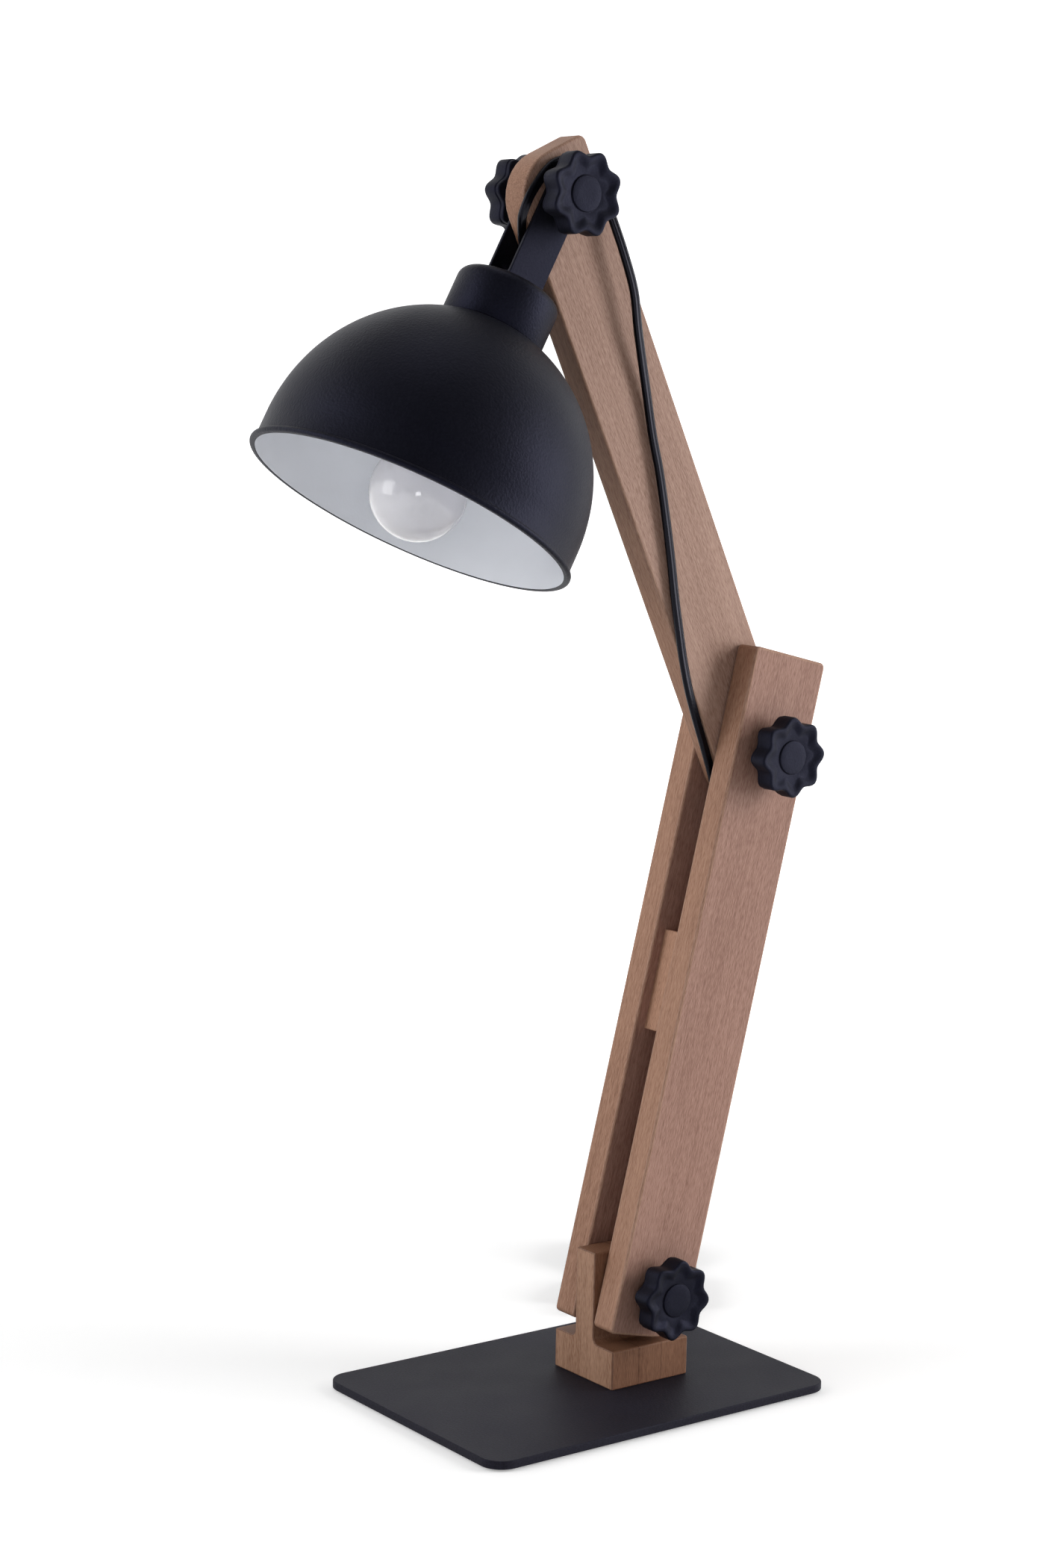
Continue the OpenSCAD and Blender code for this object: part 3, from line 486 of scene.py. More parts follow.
LOWER_WIDE_WOOD = (0.316, 0.177, 0.135)
UPPER_WIDE_WOOD = (0.340, 0.210, 0.160)
NARROW_WOOD = (0.342, 0.186, 0.122)
# Painted shade: the upper board's narrow faces are darker than the lower boards', for the shadow that the
# lamp's shade casts on them
UPPER_NARROW_SHADED_WOOD = (0.300, 0.166, 0.110)
SPACER_WOOD = (0.410, 0.228, 0.150)
FOOT_WOOD = (0.372, 0.212, 0.138)
# Painted shade: the foot's sides and shoulders are darker than its faces, for the shade that falls on them
# under the boards
FOOT_SHADED_WALL_WOOD = (0.196, 0.092, 0.052)
# How far the grain is shifted in the foot, and from each of its layers to the next
FOOT_SHIFT = 1.3
LAYER_SHIFT = 2.9
lower_wood = wood_set("lower_wood", LOWER_LEAN, LOWER_WIDE_WOOD, NARROW_WOOD, shift=0.0)
upper_wood = wood_set("upper_wood", -UPPER_LEAN, UPPER_WIDE_WOOD, UPPER_NARROW_SHADED_WOOD, shift=3.1)
spacer_wood = wood_set("spacer_wood", LOWER_LEAN, SPACER_WOOD, SPACER_WOOD, shift=7.7)
foot_woods = [
    wood_set(f"foot_wood_{layer}", 0.0, FOOT_WOOD, FOOT_SHADED_WALL_WOOD, FOOT_SHIFT + LAYER_SHIFT * layer)
    for layer in range(3)
]
BLUE_SHEEN = (0.46, 0.48, 0.97)
COOL_SHEEN = (0.78, 0.78, 1.0)
HEAD_BLACK = (0.0040, 0.0041, 0.0055)
plate_coat = textured_black(
    "plate_coat", (0.0116, 0.0110, 0.0170), roughness=0.60, grain_mm=1.0, depth_mm=0.10,
    specular=0.14, sheen=COOL_SHEEN,
)
shade_coat = textured_black(
    "shade_coat", HEAD_BLACK, roughness=0.50, grain_mm=1.1, depth_mm=0.25, specular=0.155, sheen=BLUE_SHEEN,
)
yoke_coat = textured_black(
    "yoke_coat", HEAD_BLACK, roughness=0.50, grain_mm=1.1, depth_mm=0.07, specular=0.145, sheen=BLUE_SHEEN,
)
knob_plastic = textured_black(
    "knob_plastic", (0.0046, 0.0047, 0.0066), roughness=0.56, grain_mm=0.9, depth_mm=0.10,
    specular=0.17, sheen=BLUE_SHEEN,
)
fitting_plastic = textured_black(
    "fitting_plastic", (0.010, 0.010, 0.011), roughness=0.42, grain_mm=0.6, depth_mm=0.02,
)
washer_fibre = textured_black(
    "washer_fibre", (0.012, 0.011, 0.010), roughness=0.8, grain_mm=0.8, depth_mm=0.05,
)
pad_rubber = textured_black(
    "pad_rubber", (0.013, 0.013, 0.013), roughness=0.85, grain_mm=1.2, depth_mm=0.10,
)
cord_skin = textured_black(
    "cord_skin", (0.0022, 0.0022, 0.0032), roughness=0.27, grain_mm=1.6, depth_mm=0.02,
    specular=0.14, sheen=COOL_SHEEN,
)
glue_line = textured_black(
    "glue_line", (0.070, 0.036, 0.022), roughness=0.7, grain_mm=0.8, depth_mm=0.02,
)
foot_woods[1][RIM] = glue_line
shade_inside = white_enamel("shade_inside", (0.84, 0.86, 0.905), roughness=0.45)
holder_white = white_enamel("holder_white", (0.78, 0.78, 0.76), roughness=0.40)
zinc = bare_metal("zinc", (0.52, 0.52, 0.54), roughness=0.35)
brass = bare_metal("brass", (0.72, 0.52, 0.24), roughness=0.32)
nickel = bare_metal("nickel", (0.74, 0.73, 0.71), roughness=0.22)
cap_metal = bare_metal("cap_metal", (0.70, 0.70, 0.70), roughness=0.28)
opal = opal_glass()


# Cord: one flat twin mains cord, in stretches that are split where it crosses a pivot

CORD_W = 4.5
CORD_T = 2.9
CORD_D = 4.0
CURVE_STEPS = 5
CORD_SHARP_EDGE = 60
GRIP_TOP = -38.0
SWITCH_AT = Vector((21, -24, 0))
SWITCH_L = 52
PLUG_AT = Vector((0, 14, 0))
PLUG_L = 36
PLUG_Z = 6.85
BOOT_L = 8
BOOT_END_R = 3.0
SLEEVE_L = 16.0
SLEEVE_END_R = 2.65
SLEEVE_GROOVE = 0.2
SLEEVE_STEPS = 20
RIB_STEPS = 4
CORD_Z = 6.0
COIL_AT = Vector((83, 0, 0))
COIL_TURNS = 8.5
COIL_LAYERS = 4
COIL_PITCH = 4.6
COIL_R = 26.4
COIL_LOW_Z = 3.3
COIL_SWEEP = COIL_TURNS / COIL_LAYERS
COIL_IN_R = COIL_R - COIL_PITCH * COIL_SWEEP
COIL_TOP_Z = COIL_LOW_Z + (COIL_LAYERS - 1) * COIL_PITCH
COIL_RINGS = 36


def in_frame(place, points):
    """Points in a frame, moved to metres in the row frame."""
    return [place @ Vector(p) for p in points]


head_route = in_frame(HEAD, [
    (0, 0, GRIP_TOP), (0, 0, GRIP_TOP + 3), (0.2, -1.3, -31.2), (1, -4.2, -27.7), (2.9, -8, -24.9),
    (5.3, -11.8, -22.1), (7.7, -14.9, -19.4), (9.5, -16.6, -15.2), (10.2, -17.1, -10), (10.2, -16.4, -4.4),
]) + in_frame(UPPER, [
    (9.9, -7.4, 298.2), (9.7, -0.8, 299.9), (9.6, 5.8, 299), (9.6, 11.6, 295.6), (9.6, 15.8, 290.2),
    (10.2, 18, 283), (11.4, 18.6, 275.2), (13, 17.8, 266),
])
upper_route = in_frame(UPPER, [
    (13, 17.8, 266), (14.8, 16.4, 250), (15, 14.8, 232), (13.6, 10.8, 214), (10.6, 6.2, 185),
    (10, 2.2, 166), (10, -1, 148), (10, -6, 127), (9.8, -10.5, 109), (9.6, -16, 89), (9.6, -20.5, 71),
    (9.5, -22.8, 61),
])
elbow_route = in_frame(UPPER, [
    (9.5, -22.8, 61), (8.6, -24.8, 46), (6.8, -25, 30), (5.2, -24.9, 14),
]) + in_frame(LOWER, [
    (3.8, -16.6, 245.5), (2.4, -9, 232.5), (1.2, -1.4, 220), (0.4, 5.6, 208), (0, 11, 196), (0, 14, 184),
])
lower_route = in_frame(LOWER, [(0, 14, z) for z in (184, 170, 156, 142, 128, 114, 100, 86, 74, 62, 50)])
base_route = in_frame(LOWER, [(0, 14, 50)]) + in_frame(ROW, [
    (0, 57, 83), (-1, 61, 71), (-3, 65, 57), (-6, 68, 43), (-10, 70, 30), (-16, 73, 18), (-25, 77, 9.6),
    (-36, 83, 7.2),
])
lead_end = Vector((SWITCH_AT.x - SWITCH_L / 2 - BOOT_L, SWITCH_AT.y, CORD_Z))
lead_route = in_frame(ROW, [(-36, 83, 7.2), (-45, 91.5, 7.2), (-52, 101, 7.2)]) + in_frame(
    LAY, [lead_end - Vector((CORD_D, 0, 0)), lead_end]
)
link_start = Vector((SWITCH_AT.x + SWITCH_L / 2 + BOOT_L, SWITCH_AT.y, CORD_Z))
link_end = COIL_AT + Vector((-CORD_D, -COIL_R, COIL_LOW_Z))
link_route = in_frame(LAY, [
    link_start, link_start + Vector((CORD_D, 0, 0)), (64, -24.5, 5.4), (70, -25.9, 3.9),
    link_end - Vector((CORD_D, 0, 0)), link_end,
])
tail_start = COIL_AT + Vector((-CORD_D, COIL_R, COIL_TOP_Z))
tail_end = PLUG_AT + Vector((PLUG_L + BOOT_L, 0, PLUG_Z))
tail_route = in_frame(LAY, [
    tail_start, tail_start - Vector((CORD_D, 0, 0)), (68, 24.6, 15.3), (60, 20.2, 11.9), (53, 15.6, 8.2),
    tail_end + Vector((CORD_D, 0, 0)), tail_end,
])


def smooth(points, steps):
    """Points on a smooth curve through the given ones, with steps between neighbours."""
    curve = []
    last = len(points) - 1
    for i in range(last):
        a = points[max(i - 1, 0)]
        b = points[i]
        c = points[i + 1]
        d = points[min(i + 2, last)]
        slope_b = (c - a) / 2
        slope_c = (d - b) / 2
        for k in range(steps):
            t = k / steps
            curve.append(
                b + t * (slope_b + t * (3 * (c - b) - 2 * slope_b - slope_c
                                        + t * (2 * (b - c) + slope_b + slope_c)))
            )
    return curve + [points[last]]


def coil_radius(t):
    """The coil's radius after t turns: it spirals in and out at a steady rate."""
    k = t / COIL_SWEEP
    f = k - 2 * math.floor(k / 2)
    return COIL_R - (COIL_R - COIL_IN_R) * (1 - abs(1 - f))


def coil_climb(t):
    """How many layers the coil has climbed after t turns, each in the half turn where it reverses."""
    return sum(min(1, max(0, (t - i * COIL_SWEEP) * 2 + 0.5)) for i in range(1, COIL_LAYERS))


def coil_route():
    """The coil's turns, from its outside on the surface to its outside on top."""
    steps = round(COIL_RINGS * COIL_TURNS)
    route = []
    for i in range(steps + 1):
        t = COIL_TURNS * i / steps
        a = 2 * math.pi * t
        r = coil_radius(t)
        z = COIL_LOW_Z + COIL_PITCH * coil_climb(t)
        route.append(LAY @ (COIL_AT + Vector((r * math.sin(a), -r * math.cos(a), z))))
    return route


def twin_section():
    """The flat twin cord's outline: two round cores side by side, with a groove where they meet."""
    lobe = CORD_T / 2 * MM
    shift = (CORD_W - CORD_T) / 2 * MM
    meet = math.acos(-shift / lobe)
    steps = 9
    half = []
    for k in range(steps):
        a = meet * (2 * k / steps - 1)
        half.append((shift + lobe * math.cos(a), lobe * math.sin(a)))
    return half + [(-x, -y) for x, y in half]


def round_section(radius, sides=20):
    """A round outline."""
    angles = [2 * math.pi * k / sides for k in range(sides)]
    return [(radius * math.cos(a), radius * math.sin(a)) for a in angles]


def tangents(path):
    """The direction of a path at each of its points."""
    last = len(path) - 1
    return [(path[min(i + 1, last)] - path[max(i - 1, 0)]).normalized() for i in range(last + 1)]


def swept(name, path, ways, thins, sections, material):
    """A tube through a path.

    At each point, ways is its direction, thins the way that its thin side faces and sections its outline.
    """
    points = []
    for p, way, thin, section in zip(path, ways, thins, sections):
        thin = (thin - way * thin.dot(way)).normalized()
        wide = way.cross(thin)
        points += [p + wide * x + thin * y for x, y in section]
    faces = ring_faces(len(path), len(sections[0]))
    return add_mesh(name, points, faces, [material], sharp=CORD_SHARP_EDGE)


def mixed(a, b, t):
    """A direction that turns from a to b as t goes from 0 to 1, starting and ending gently."""
    t = min(1, max(0, t))
    t = t * t * (3 - 2 * t)
    return (a * (1 - t) + b * t).normalized()


ACROSS = Vector((-1, 0, 0))
UPRIGHT = Vector((0, 0, 1))
routes = [head_route, upper_route, elbow_route, lower_route, base_route, lead_route]
run_points = routes[0] + [p for route in routes[1:] for p in route[1:]]
run_curve = smooth(run_points, CURVE_STEPS)
run_ways = tangents(run_curve)
stops = [0]
for route in routes:
    stops.append(stops[-1] + (len(route) - 1) * CURVE_STEPS)
# The flat cord turns to lie flat over the last part of the base stretch
BASE_PART = 4
TURN_FROM = 0.45
base_first = stops[BASE_PART]
base_last = stops[BASE_PART + 1]
turn_first = base_first + (base_last - base_first) * TURN_FROM
run_thins = [
    mixed(ACROSS, UPRIGHT, (i - turn_first) / (base_last - turn_first))
    for i in range(len(run_curve))
]
twin = twin_section()


def run_stretch(name, part):
    """One stretch of the run from the head to the switch."""
    pick = slice(stops[part], stops[part + 1] + 1)
    path = run_curve[pick]
    piece = swept(name, path, run_ways[pick], run_thins[pick], [twin] * len(path), cord_skin)
    return piece, path


def along(path, distance):
    """The point at a distance along a path."""
    for a, b in zip(path, path[1:]):
        step = (b - a).length
        if distance <= step:
            return a.lerp(b, distance / step)
        distance -= step
    return path[-1]


def add_sleeve(name, cord_path):
    """A tapered and ribbed sleeve over the first stretch of a cord that comes out of a boot."""
    path = [along(cord_path, SLEEVE_L * MM * k / SLEEVE_STEPS) for k in range(SLEEVE_STEPS + 1)]
    sections = []
    for k in range(SLEEVE_STEPS + 1):
        groove = SLEEVE_GROOVE if k % RIB_STEPS >= RIB_STEPS / 2 else 0
        radius = BOOT_END_R + (SLEEVE_END_R - BOOT_END_R) * k / SLEEVE_STEPS - groove
        sections.append(round_section(radius * MM))
    piece = swept(name, path, tangents(path), [UPRIGHT] * len(path), sections, fitting_plastic)
    return finish_piece(piece, "stand", "fitting")


def add_run():
    """The cord from the head to the switch: fixed stretches ride on their arm, those across a pivot stay on
    no body.
    """
    plan = [
        ("flex_head", "cord_head", ("upper_arm", "head"), "loose"),
        ("flex_upper", "cord_upper", "upper_arm", "loose"),
        ("flex_elbow", "cord_elbow", ("lower_arm", "upper_arm"), "hanging"),
        ("flex_lower", "cord_lower", "lower_arm", "taut"),
        ("flex_base", "cord_base", ("stand", "lower_arm"), "hanging"),
        ("flex_lead", "cord_lead", "stand", "loose"),
    ]
    for part, (name, cad, body, lay) in enumerate(plan):
        piece, path = run_stretch(name, part)
        if isinstance(body, str):
            finish_piece(piece, body, "cord", cad)
        else:
            finish_piece(piece, None, "cord", cad)
            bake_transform(piece)
        if name == "flex_lead":
            sleeve = add_sleeve("switch_sleeve_lead", list(reversed(path)))


def add_coil():
    """The put-away length from the switch through the coil to the plug, lying flat at both ends."""
    link = smooth(link_route, CURVE_STEPS)
    coil = coil_route()
    tail = smooth(tail_route, CURVE_STEPS)
    path = link[:-1] + coil + tail[1:]
    ways = tangents(path)
    centre = LAY @ COIL_AT
    thins = []
    for i, p in enumerate(path):
        outward = Vector((p.x - centre.x, p.y - centre.y, 0)).normalized()
        into = i / (len(link) - 1)
        out_of = (len(path) - 1 - i) / (len(tail) - 1)
        thins.append(mixed(UPRIGHT, outward, min(into, out_of)))
    piece = swept("flex_coil", path, ways, thins, [twin] * len(path), cord_skin)
    finish_piece(piece, "stand", "cord", "cord_link", "cord_coil", "cord_tail")
    pieces = [NODES[n] for n in ("coil_tie", "plug_body", "plug_pin_left", "plug_pin_right")]
    pieces.append(add_sleeve("switch_sleeve_link", path))
    pieces.append(add_sleeve("plug_sleeve", list(reversed(path))))


add_camera()
add_run()
add_coil()


# Boards, foot and plate

def upright_put(place):
    """Places an outline in Y and Z that is drawn out along X."""
    return lambda u, v, w: place @ Vector((w, u, v))


def board_outline(width, low, high, front_low, rear_low, rear_high, front_high):
    """A board's outline, with a radius for each of its corners."""
    half = width / 2
    return rounded([
        (-half, low, front_low), (half, low, rear_low), (half, high, rear_high), (-half, high, front_high),
    ])


LOWER_W = 45
LOWER_IN = 7.75
LOWER_OUT = 22.15
LOWER_TAIL = 22
LOWER_HEAD = 48.4
LOWER_CORNER_R = 2.5
LOWER_HEEL_R = 18
UPPER_W = 44.5
UPPER_HALF_T = 7.25
UPPER_END = 20.5
UPPER_TAIL_R = 16
UPPER_CORNER_R = 4
UPPER_NOSE_R = 22
BOARD_EASE = 1.2
JOINT_EASE = 0.02
lower_outline = board_outline(
    LOWER_W, -LOWER_TAIL, LOWER_SPAN + LOWER_HEAD,
    LOWER_CORNER_R, LOWER_HEEL_R, LOWER_CORNER_R, LOWER_CORNER_R,
)
upper_outline = board_outline(
    UPPER_W, -UPPER_END, UPPER_SPAN + UPPER_END,
    UPPER_TAIL_R, UPPER_TAIL_R, UPPER_CORNER_R, UPPER_NOSE_R,
)


def add_lower_boards():
    """The two boards of the lower arm."""
    put = upright_put(LOWER)
    boards = [
        ("lower_board_left", -LOWER_OUT, -LOWER_IN),
        ("lower_board_right", LOWER_IN, LOWER_OUT),
    ]
    for name, low, high in boards:
        piece = slab(f"{name}_wood", lower_outline, low, high, BOARD_EASE, BOARD_EASE, put, lower_wood)
        finish_piece(piece, "lower_arm", "board_wood", name)


def add_upper_board():
    """The board of the upper arm, with its rounded nose at the head."""
    piece = slab("upper_board_wood", upper_outline, -UPPER_HALF_T, UPPER_HALF_T, BOARD_EASE, BOARD_EASE,
                 upright_put(UPPER), upper_wood)
    finish_piece(piece, "upper_arm", "board_wood", "upper_board")


SPACER_FRONT = -16.5
SPACER_REAR = 7.5
SPACER_LOW = 121.5
SPACER_TOP = 170.5
SPACER_CORNER_R = 0.8


def add_spacer():
    """The block between the lower boards."""
    outline = rounded([
        (SPACER_FRONT, SPACER_LOW, SPACER_CORNER_R), (SPACER_REAR, SPACER_LOW, SPACER_CORNER_R),
        (SPACER_REAR, SPACER_TOP, SPACER_CORNER_R), (SPACER_FRONT, SPACER_TOP, SPACER_CORNER_R),
    ], steps=4)
    piece = slab("spacer_wood", outline, -LOWER_IN, LOWER_IN, JOINT_EASE, JOINT_EASE, upright_put(LOWER),
                 spacer_wood)
    finish_piece(piece, "lower_arm", "foot_wood", "spacer")


PLATE_HALF_W = 70
PLATE_HALF_D = 100
PLATE_CORNER_R = 11
PLATE_LOW = 1
PLATE_TOP = 5
PLATE_EASE_LOW = 0.5
PLATE_EASE_TOP = 0.6
FOOT_HALF_W = 22.5
TONGUE_HALF_W = 7
SHOULDER_Z = 24
FOOT_TOP = 68.5
FOOT_BOTTOM_R = 0.8
SHOULDER_R = 1.0
TONGUE_R = 0.9
FILLET_R = 3.5
FOOT_FRONT = 3
MIDDLE_FRONT = 19
MIDDLE_REAR = 33
FOOT_REAR = 49
GLUE_EASE = 0.2
FOOT_EASE = 0.6


def foot_outline():
    """An upside-down T, with fillets where its tongue meets its shoulders."""
    return rounded([
        (-FOOT_HALF_W, PLATE_TOP, FOOT_BOTTOM_R), (FOOT_HALF_W, PLATE_TOP, FOOT_BOTTOM_R),
        (FOOT_HALF_W, SHOULDER_Z, SHOULDER_R), (TONGUE_HALF_W, SHOULDER_Z, FILLET_R),
        (TONGUE_HALF_W, FOOT_TOP, TONGUE_R), (-TONGUE_HALF_W, FOOT_TOP, TONGUE_R),
        (-TONGUE_HALF_W, SHOULDER_Z, FILLET_R), (-FOOT_HALF_W, SHOULDER_Z, SHOULDER_R),
    ], steps=6)


def across_put(u, v, w):
    """Places an outline in X and Z that is drawn out along Y."""
    return ROW @ Vector((u, w, v))


def flat_put(u, v, w):
    """Places an outline in X and Y that is drawn out along Z."""
    return ROW @ Vector((u, v, w))


def add_foot():
    """The foot's three layers, with a glue line on each side of the middle one."""
    outline = foot_outline()
    layers = [
        ("foot_front_layer", FOOT_FRONT, MIDDLE_FRONT, FOOT_EASE, JOINT_EASE),
        ("foot_middle_layer_block", MIDDLE_FRONT, MIDDLE_REAR, GLUE_EASE, GLUE_EASE),
        ("foot_rear_layer", MIDDLE_REAR, FOOT_REAR, JOINT_EASE, FOOT_EASE),
    ]
    for (name, front, rear, ease_front, ease_rear), woods in zip(layers, foot_woods):
        piece = slab(f"{name}_wood", outline, front, rear, ease_front, ease_rear, across_put, woods)
        finish_piece(piece, "stand", "foot_wood", name)


def add_plate():
    """The coated steel plate."""
    outline = rounded([
        (-PLATE_HALF_W, -PLATE_HALF_D, PLATE_CORNER_R), (PLATE_HALF_W, -PLATE_HALF_D, PLATE_CORNER_R),
        (PLATE_HALF_W, PLATE_HALF_D, PLATE_CORNER_R), (-PLATE_HALF_W, PLATE_HALF_D, PLATE_CORNER_R),
    ], steps=16)
    piece = slab("base_plate_coat", outline, PLATE_LOW, PLATE_TOP, PLATE_EASE_LOW, PLATE_EASE_TOP, flat_put,
                 [plate_coat] * 3)
    finish_piece(piece, "stand", "plate", "base_plate")


add_lower_boards()
add_upper_board()
add_spacer()
add_foot()
add_plate()


# Knobs

KNOB_R = 19.4
KNOB_LOBES = 8
KNOB_LOBE_DEPTH = 3.0
KNOB_H = 17.0
LOBE_STEPS = 18
EDGE_RINGS = 5
KNOB_SHARP_EDGE = 35
HUB_R = 10.5
HUB_H = 6.5
HUB_EDGE = 0.6
HUB_FLARE = 0.3
KNOB_BOTTOM_EDGE = 0.8
KNOB_TOP_EDGE = 1.0
# A small step round the star, as (distance in, height over the hub) points up its side
BOTTOM_IN = 0.5
STEP_LINE = ((BOTTOM_IN, 2.2), (0.1, 2.5), (0.0, 2.8))
KNOB_DISH = 1.5
# The knob's raised rim slopes down to the floor of its face between these distances in from the lobes
SLOPE_TOP_IN = 1.4
SLOPE_LOW_IN = 6.6
SLOPE_STEPS = 10
FLOOR_Z = KNOB_H - KNOB_DISH
CAP_R = 8.25
# The disc stands this high over the floor of the knob's face
DISC_RISE = 0.7
DISC_Z = FLOOR_Z + DISC_RISE


def lobe_r(a):
    """The star's radius at an angle."""
    return KNOB_R - KNOB_LOBE_DEPTH / 2 * (1 - math.cos(KNOB_LOBES * a))


def hub_line():
    """Points up the knob's hub from its seat: (radius, height)."""
    return [
        (HUB_R - HUB_EDGE, 0.0), (HUB_R, HUB_EDGE), (HUB_R, HUB_H - HUB_FLARE), (HUB_R + HUB_FLARE, HUB_H),
    ]


def star_line():
    """Points up the star and down the slope of its face: (distance in from the lobes, height)."""
    line = []
    for k in range(EDGE_RINGS + 1):
        a = math.pi / 2 * k / EDGE_RINGS
        inset = BOTTOM_IN + KNOB_BOTTOM_EDGE * (1 - math.sin(a))
        line.append((inset, HUB_H + KNOB_BOTTOM_EDGE * (1 - math.cos(a))))
    line += [(inset, HUB_H + rise) for inset, rise in STEP_LINE]
    for k in range(EDGE_RINGS + 1):
        a = math.pi / 2 * k / EDGE_RINGS
        line.append((KNOB_TOP_EDGE * (1 - math.cos(a)), KNOB_H - KNOB_TOP_EDGE * (1 - math.sin(a))))
    for k in range(SLOPE_STEPS + 1):
        t = k / SLOPE_STEPS
        inset = SLOPE_TOP_IN + (SLOPE_LOW_IN - SLOPE_TOP_IN) * t
        line.append((inset, KNOB_H - KNOB_DISH * t * t * (3 - 2 * t)))
    return line


def disc_line():
    """Points over the disc in the knob's face, (radius, height): a fine groove, then its eased top."""
    return [
        (CAP_R + 0.6, FLOOR_Z),
        (CAP_R + 0.25, FLOOR_Z - 0.15),
        (CAP_R, FLOOR_Z - 0.1),
        (CAP_R - 0.1, FLOOR_Z + 0.2),
        (CAP_R - 0.35, DISC_Z - 0.15),
        (CAP_R - 0.9, DISC_Z),
        (CAP_R * 0.5, DISC_Z),
        (0.4, DISC_Z),
    ]


def add_knob(name, place, side, seat, turn):
    """A star knob with a raised rim round its face and a disc in its middle, on one side of an arm."""
    put = place @ Matrix.Rotation(math.radians(turn), 4, "X") @ Matrix.Translation((side * seat, 0, 0))
    put = put @ Matrix.Rotation(math.radians(90 * side), 4, "Y")
    steps = KNOB_LOBES * LOBE_STEPS
    angles = [2 * math.pi * k / steps for k in range(steps)]
    rings = [[(r, z)] * steps for r, z in hub_line()]
    rings += [[(lobe_r(a) - inset, z) for a in angles] for inset, z in star_line()]
    rings += [[(r, z)] * steps for r, z in disc_line()]
    points = []
    for ring in rings:
        points += [put @ Vector((r * math.cos(a), r * math.sin(a), z)) for (r, z), a in zip(ring, angles)]
    faces = ring_faces(len(rings), steps)
    piece = add_mesh(f"{name}_star", points, faces, [knob_plastic], sharp=KNOB_SHARP_EDGE)
    finish_piece(piece, name, "knob", name, f"{name}_cap")


YOKE_OUT = 9.35
ELBOW_UP = Matrix.Translation((0, 0, LOWER_SPAN))
add_knob("base_knob", LOWER, side=1, seat=LOWER_OUT, turn=5)
add_knob("elbow_knob", LOWER @ ELBOW_UP, side=1, seat=LOWER_OUT, turn=16)
add_knob("head_knob_left", HEAD, side=-1, seat=YOKE_OUT, turn=19)
add_knob("head_knob_right", HEAD, side=1, seat=YOKE_OUT, turn=4)


# Head

SHADE_L = 160.7
SHADE_R = 75.3
SKIRT_H = 14.1
DOME_H = 80.2
SHEET_T = 1.0
LIP_T = 2.8
LIP_OUT = 1.9
NECK_R = 24.2
NECK_EDGE = 5.0
NECK_T = 1.2
NECK_HOLE_IN = 6
YOKE_L = 47.0
YOKE_T = 2.0
YOKE_HALF_W = 10.0
YOKE_BEND = 1.4
YOKE_EASE = 0.35
YOKE_SHARP_EDGE = 50
NIPPLE_R = 5.05
RIM_Z = -SHADE_L
DOME_Z = RIM_Z + SKIRT_H
NECK_TOP_Z = -YOKE_L
SHADE_TOP_Z = DOME_Z + DOME_H * math.sqrt(1 - (NECK_R / SHADE_R) ** 2)


def dome_line(first_r, thick, steps=48):
    """Points down the dome from a radius to the straight wall, on an ellipse drawn in by thick."""
    r = SHADE_R - thick
    h = DOME_H - thick
    first = math.acos(first_r / r)
    line = []
    for i in range(steps + 1):
        a = first * (1 - i / steps)
        line.append((r * math.cos(a), DOME_Z + h * math.sin(a)))
    return line


def add_shade():
    """The spun shade: black outside and on its rolled lip, white inside."""
    hole_r = NECK_R - NECK_HOLE_IN
    wall_in = SHADE_R - SHEET_T
    lip_r = LIP_T / 2
    lip_x = SHADE_R + LIP_OUT - lip_r
    lip_start = 0.6
    lip_turn = 0.15
    edge = 0.3
    steps = 12
    outer = [(hole_r, SHADE_TOP_Z)] + dome_line(NECK_R, 0)
    outer += [(SHADE_R, RIM_Z + LIP_T + lip_start), (SHADE_R + lip_turn, RIM_Z + LIP_T + lip_turn)]
    for k in range(steps + 1):
        a = math.pi * (0.5 - k / steps)
        outer.append((lip_x + lip_r * math.cos(a), RIM_Z + lip_r + lip_r * math.sin(a)))
    outer += [(wall_in + edge, RIM_Z), (wall_in, RIM_Z + edge)]
    inner = list(reversed(dome_line(NECK_R - SHEET_T, SHEET_T)))
    inner.append((hole_r, inner[-1][1]))
    coated = 0
    white = 1
    slots = [coated] * (len(outer) - 1) + [white] * len(inner) + [coated]
    piece = revolve("shade_coated", outer + inner, HEAD, [shade_coat, shade_inside], slots)
    finish_piece(piece, "head", "coated_steel", "shade")


def add_neck():
    """The cup over the shade's top, with a rounded shoulder and an eased lower edge."""
    inner = NECK_EDGE - NECK_T
    corner_r = NECK_R - NECK_EDGE
    corner_z = NECK_TOP_Z - NECK_EDGE
    low_edge_h = 0.4
    low_edge_in = 0.3
    steps = 10
    outside = [(NIPPLE_R, NECK_TOP_Z)]
    inside = []
    for k in range(steps + 1):
        a = math.pi / 2 * (1 - k / steps)
        outside.append((corner_r + NECK_EDGE * math.cos(a), corner_z + NECK_EDGE * math.sin(a)))
        inside.append((corner_r + inner * math.cos(a), corner_z + inner * math.sin(a)))
    outside += [
        (NECK_R, SHADE_TOP_Z + low_edge_h),
        (NECK_R - low_edge_in, SHADE_TOP_Z),
        (NECK_R - NECK_T, SHADE_TOP_Z),
    ]
    profile = outside + list(reversed(inside)) + [(NIPPLE_R, NECK_TOP_Z - NECK_T)]
    piece = revolve("neck_cup_coated", profile, HEAD, [shade_coat])
    finish_piece(piece, "head", "coated_steel", "neck_cup")


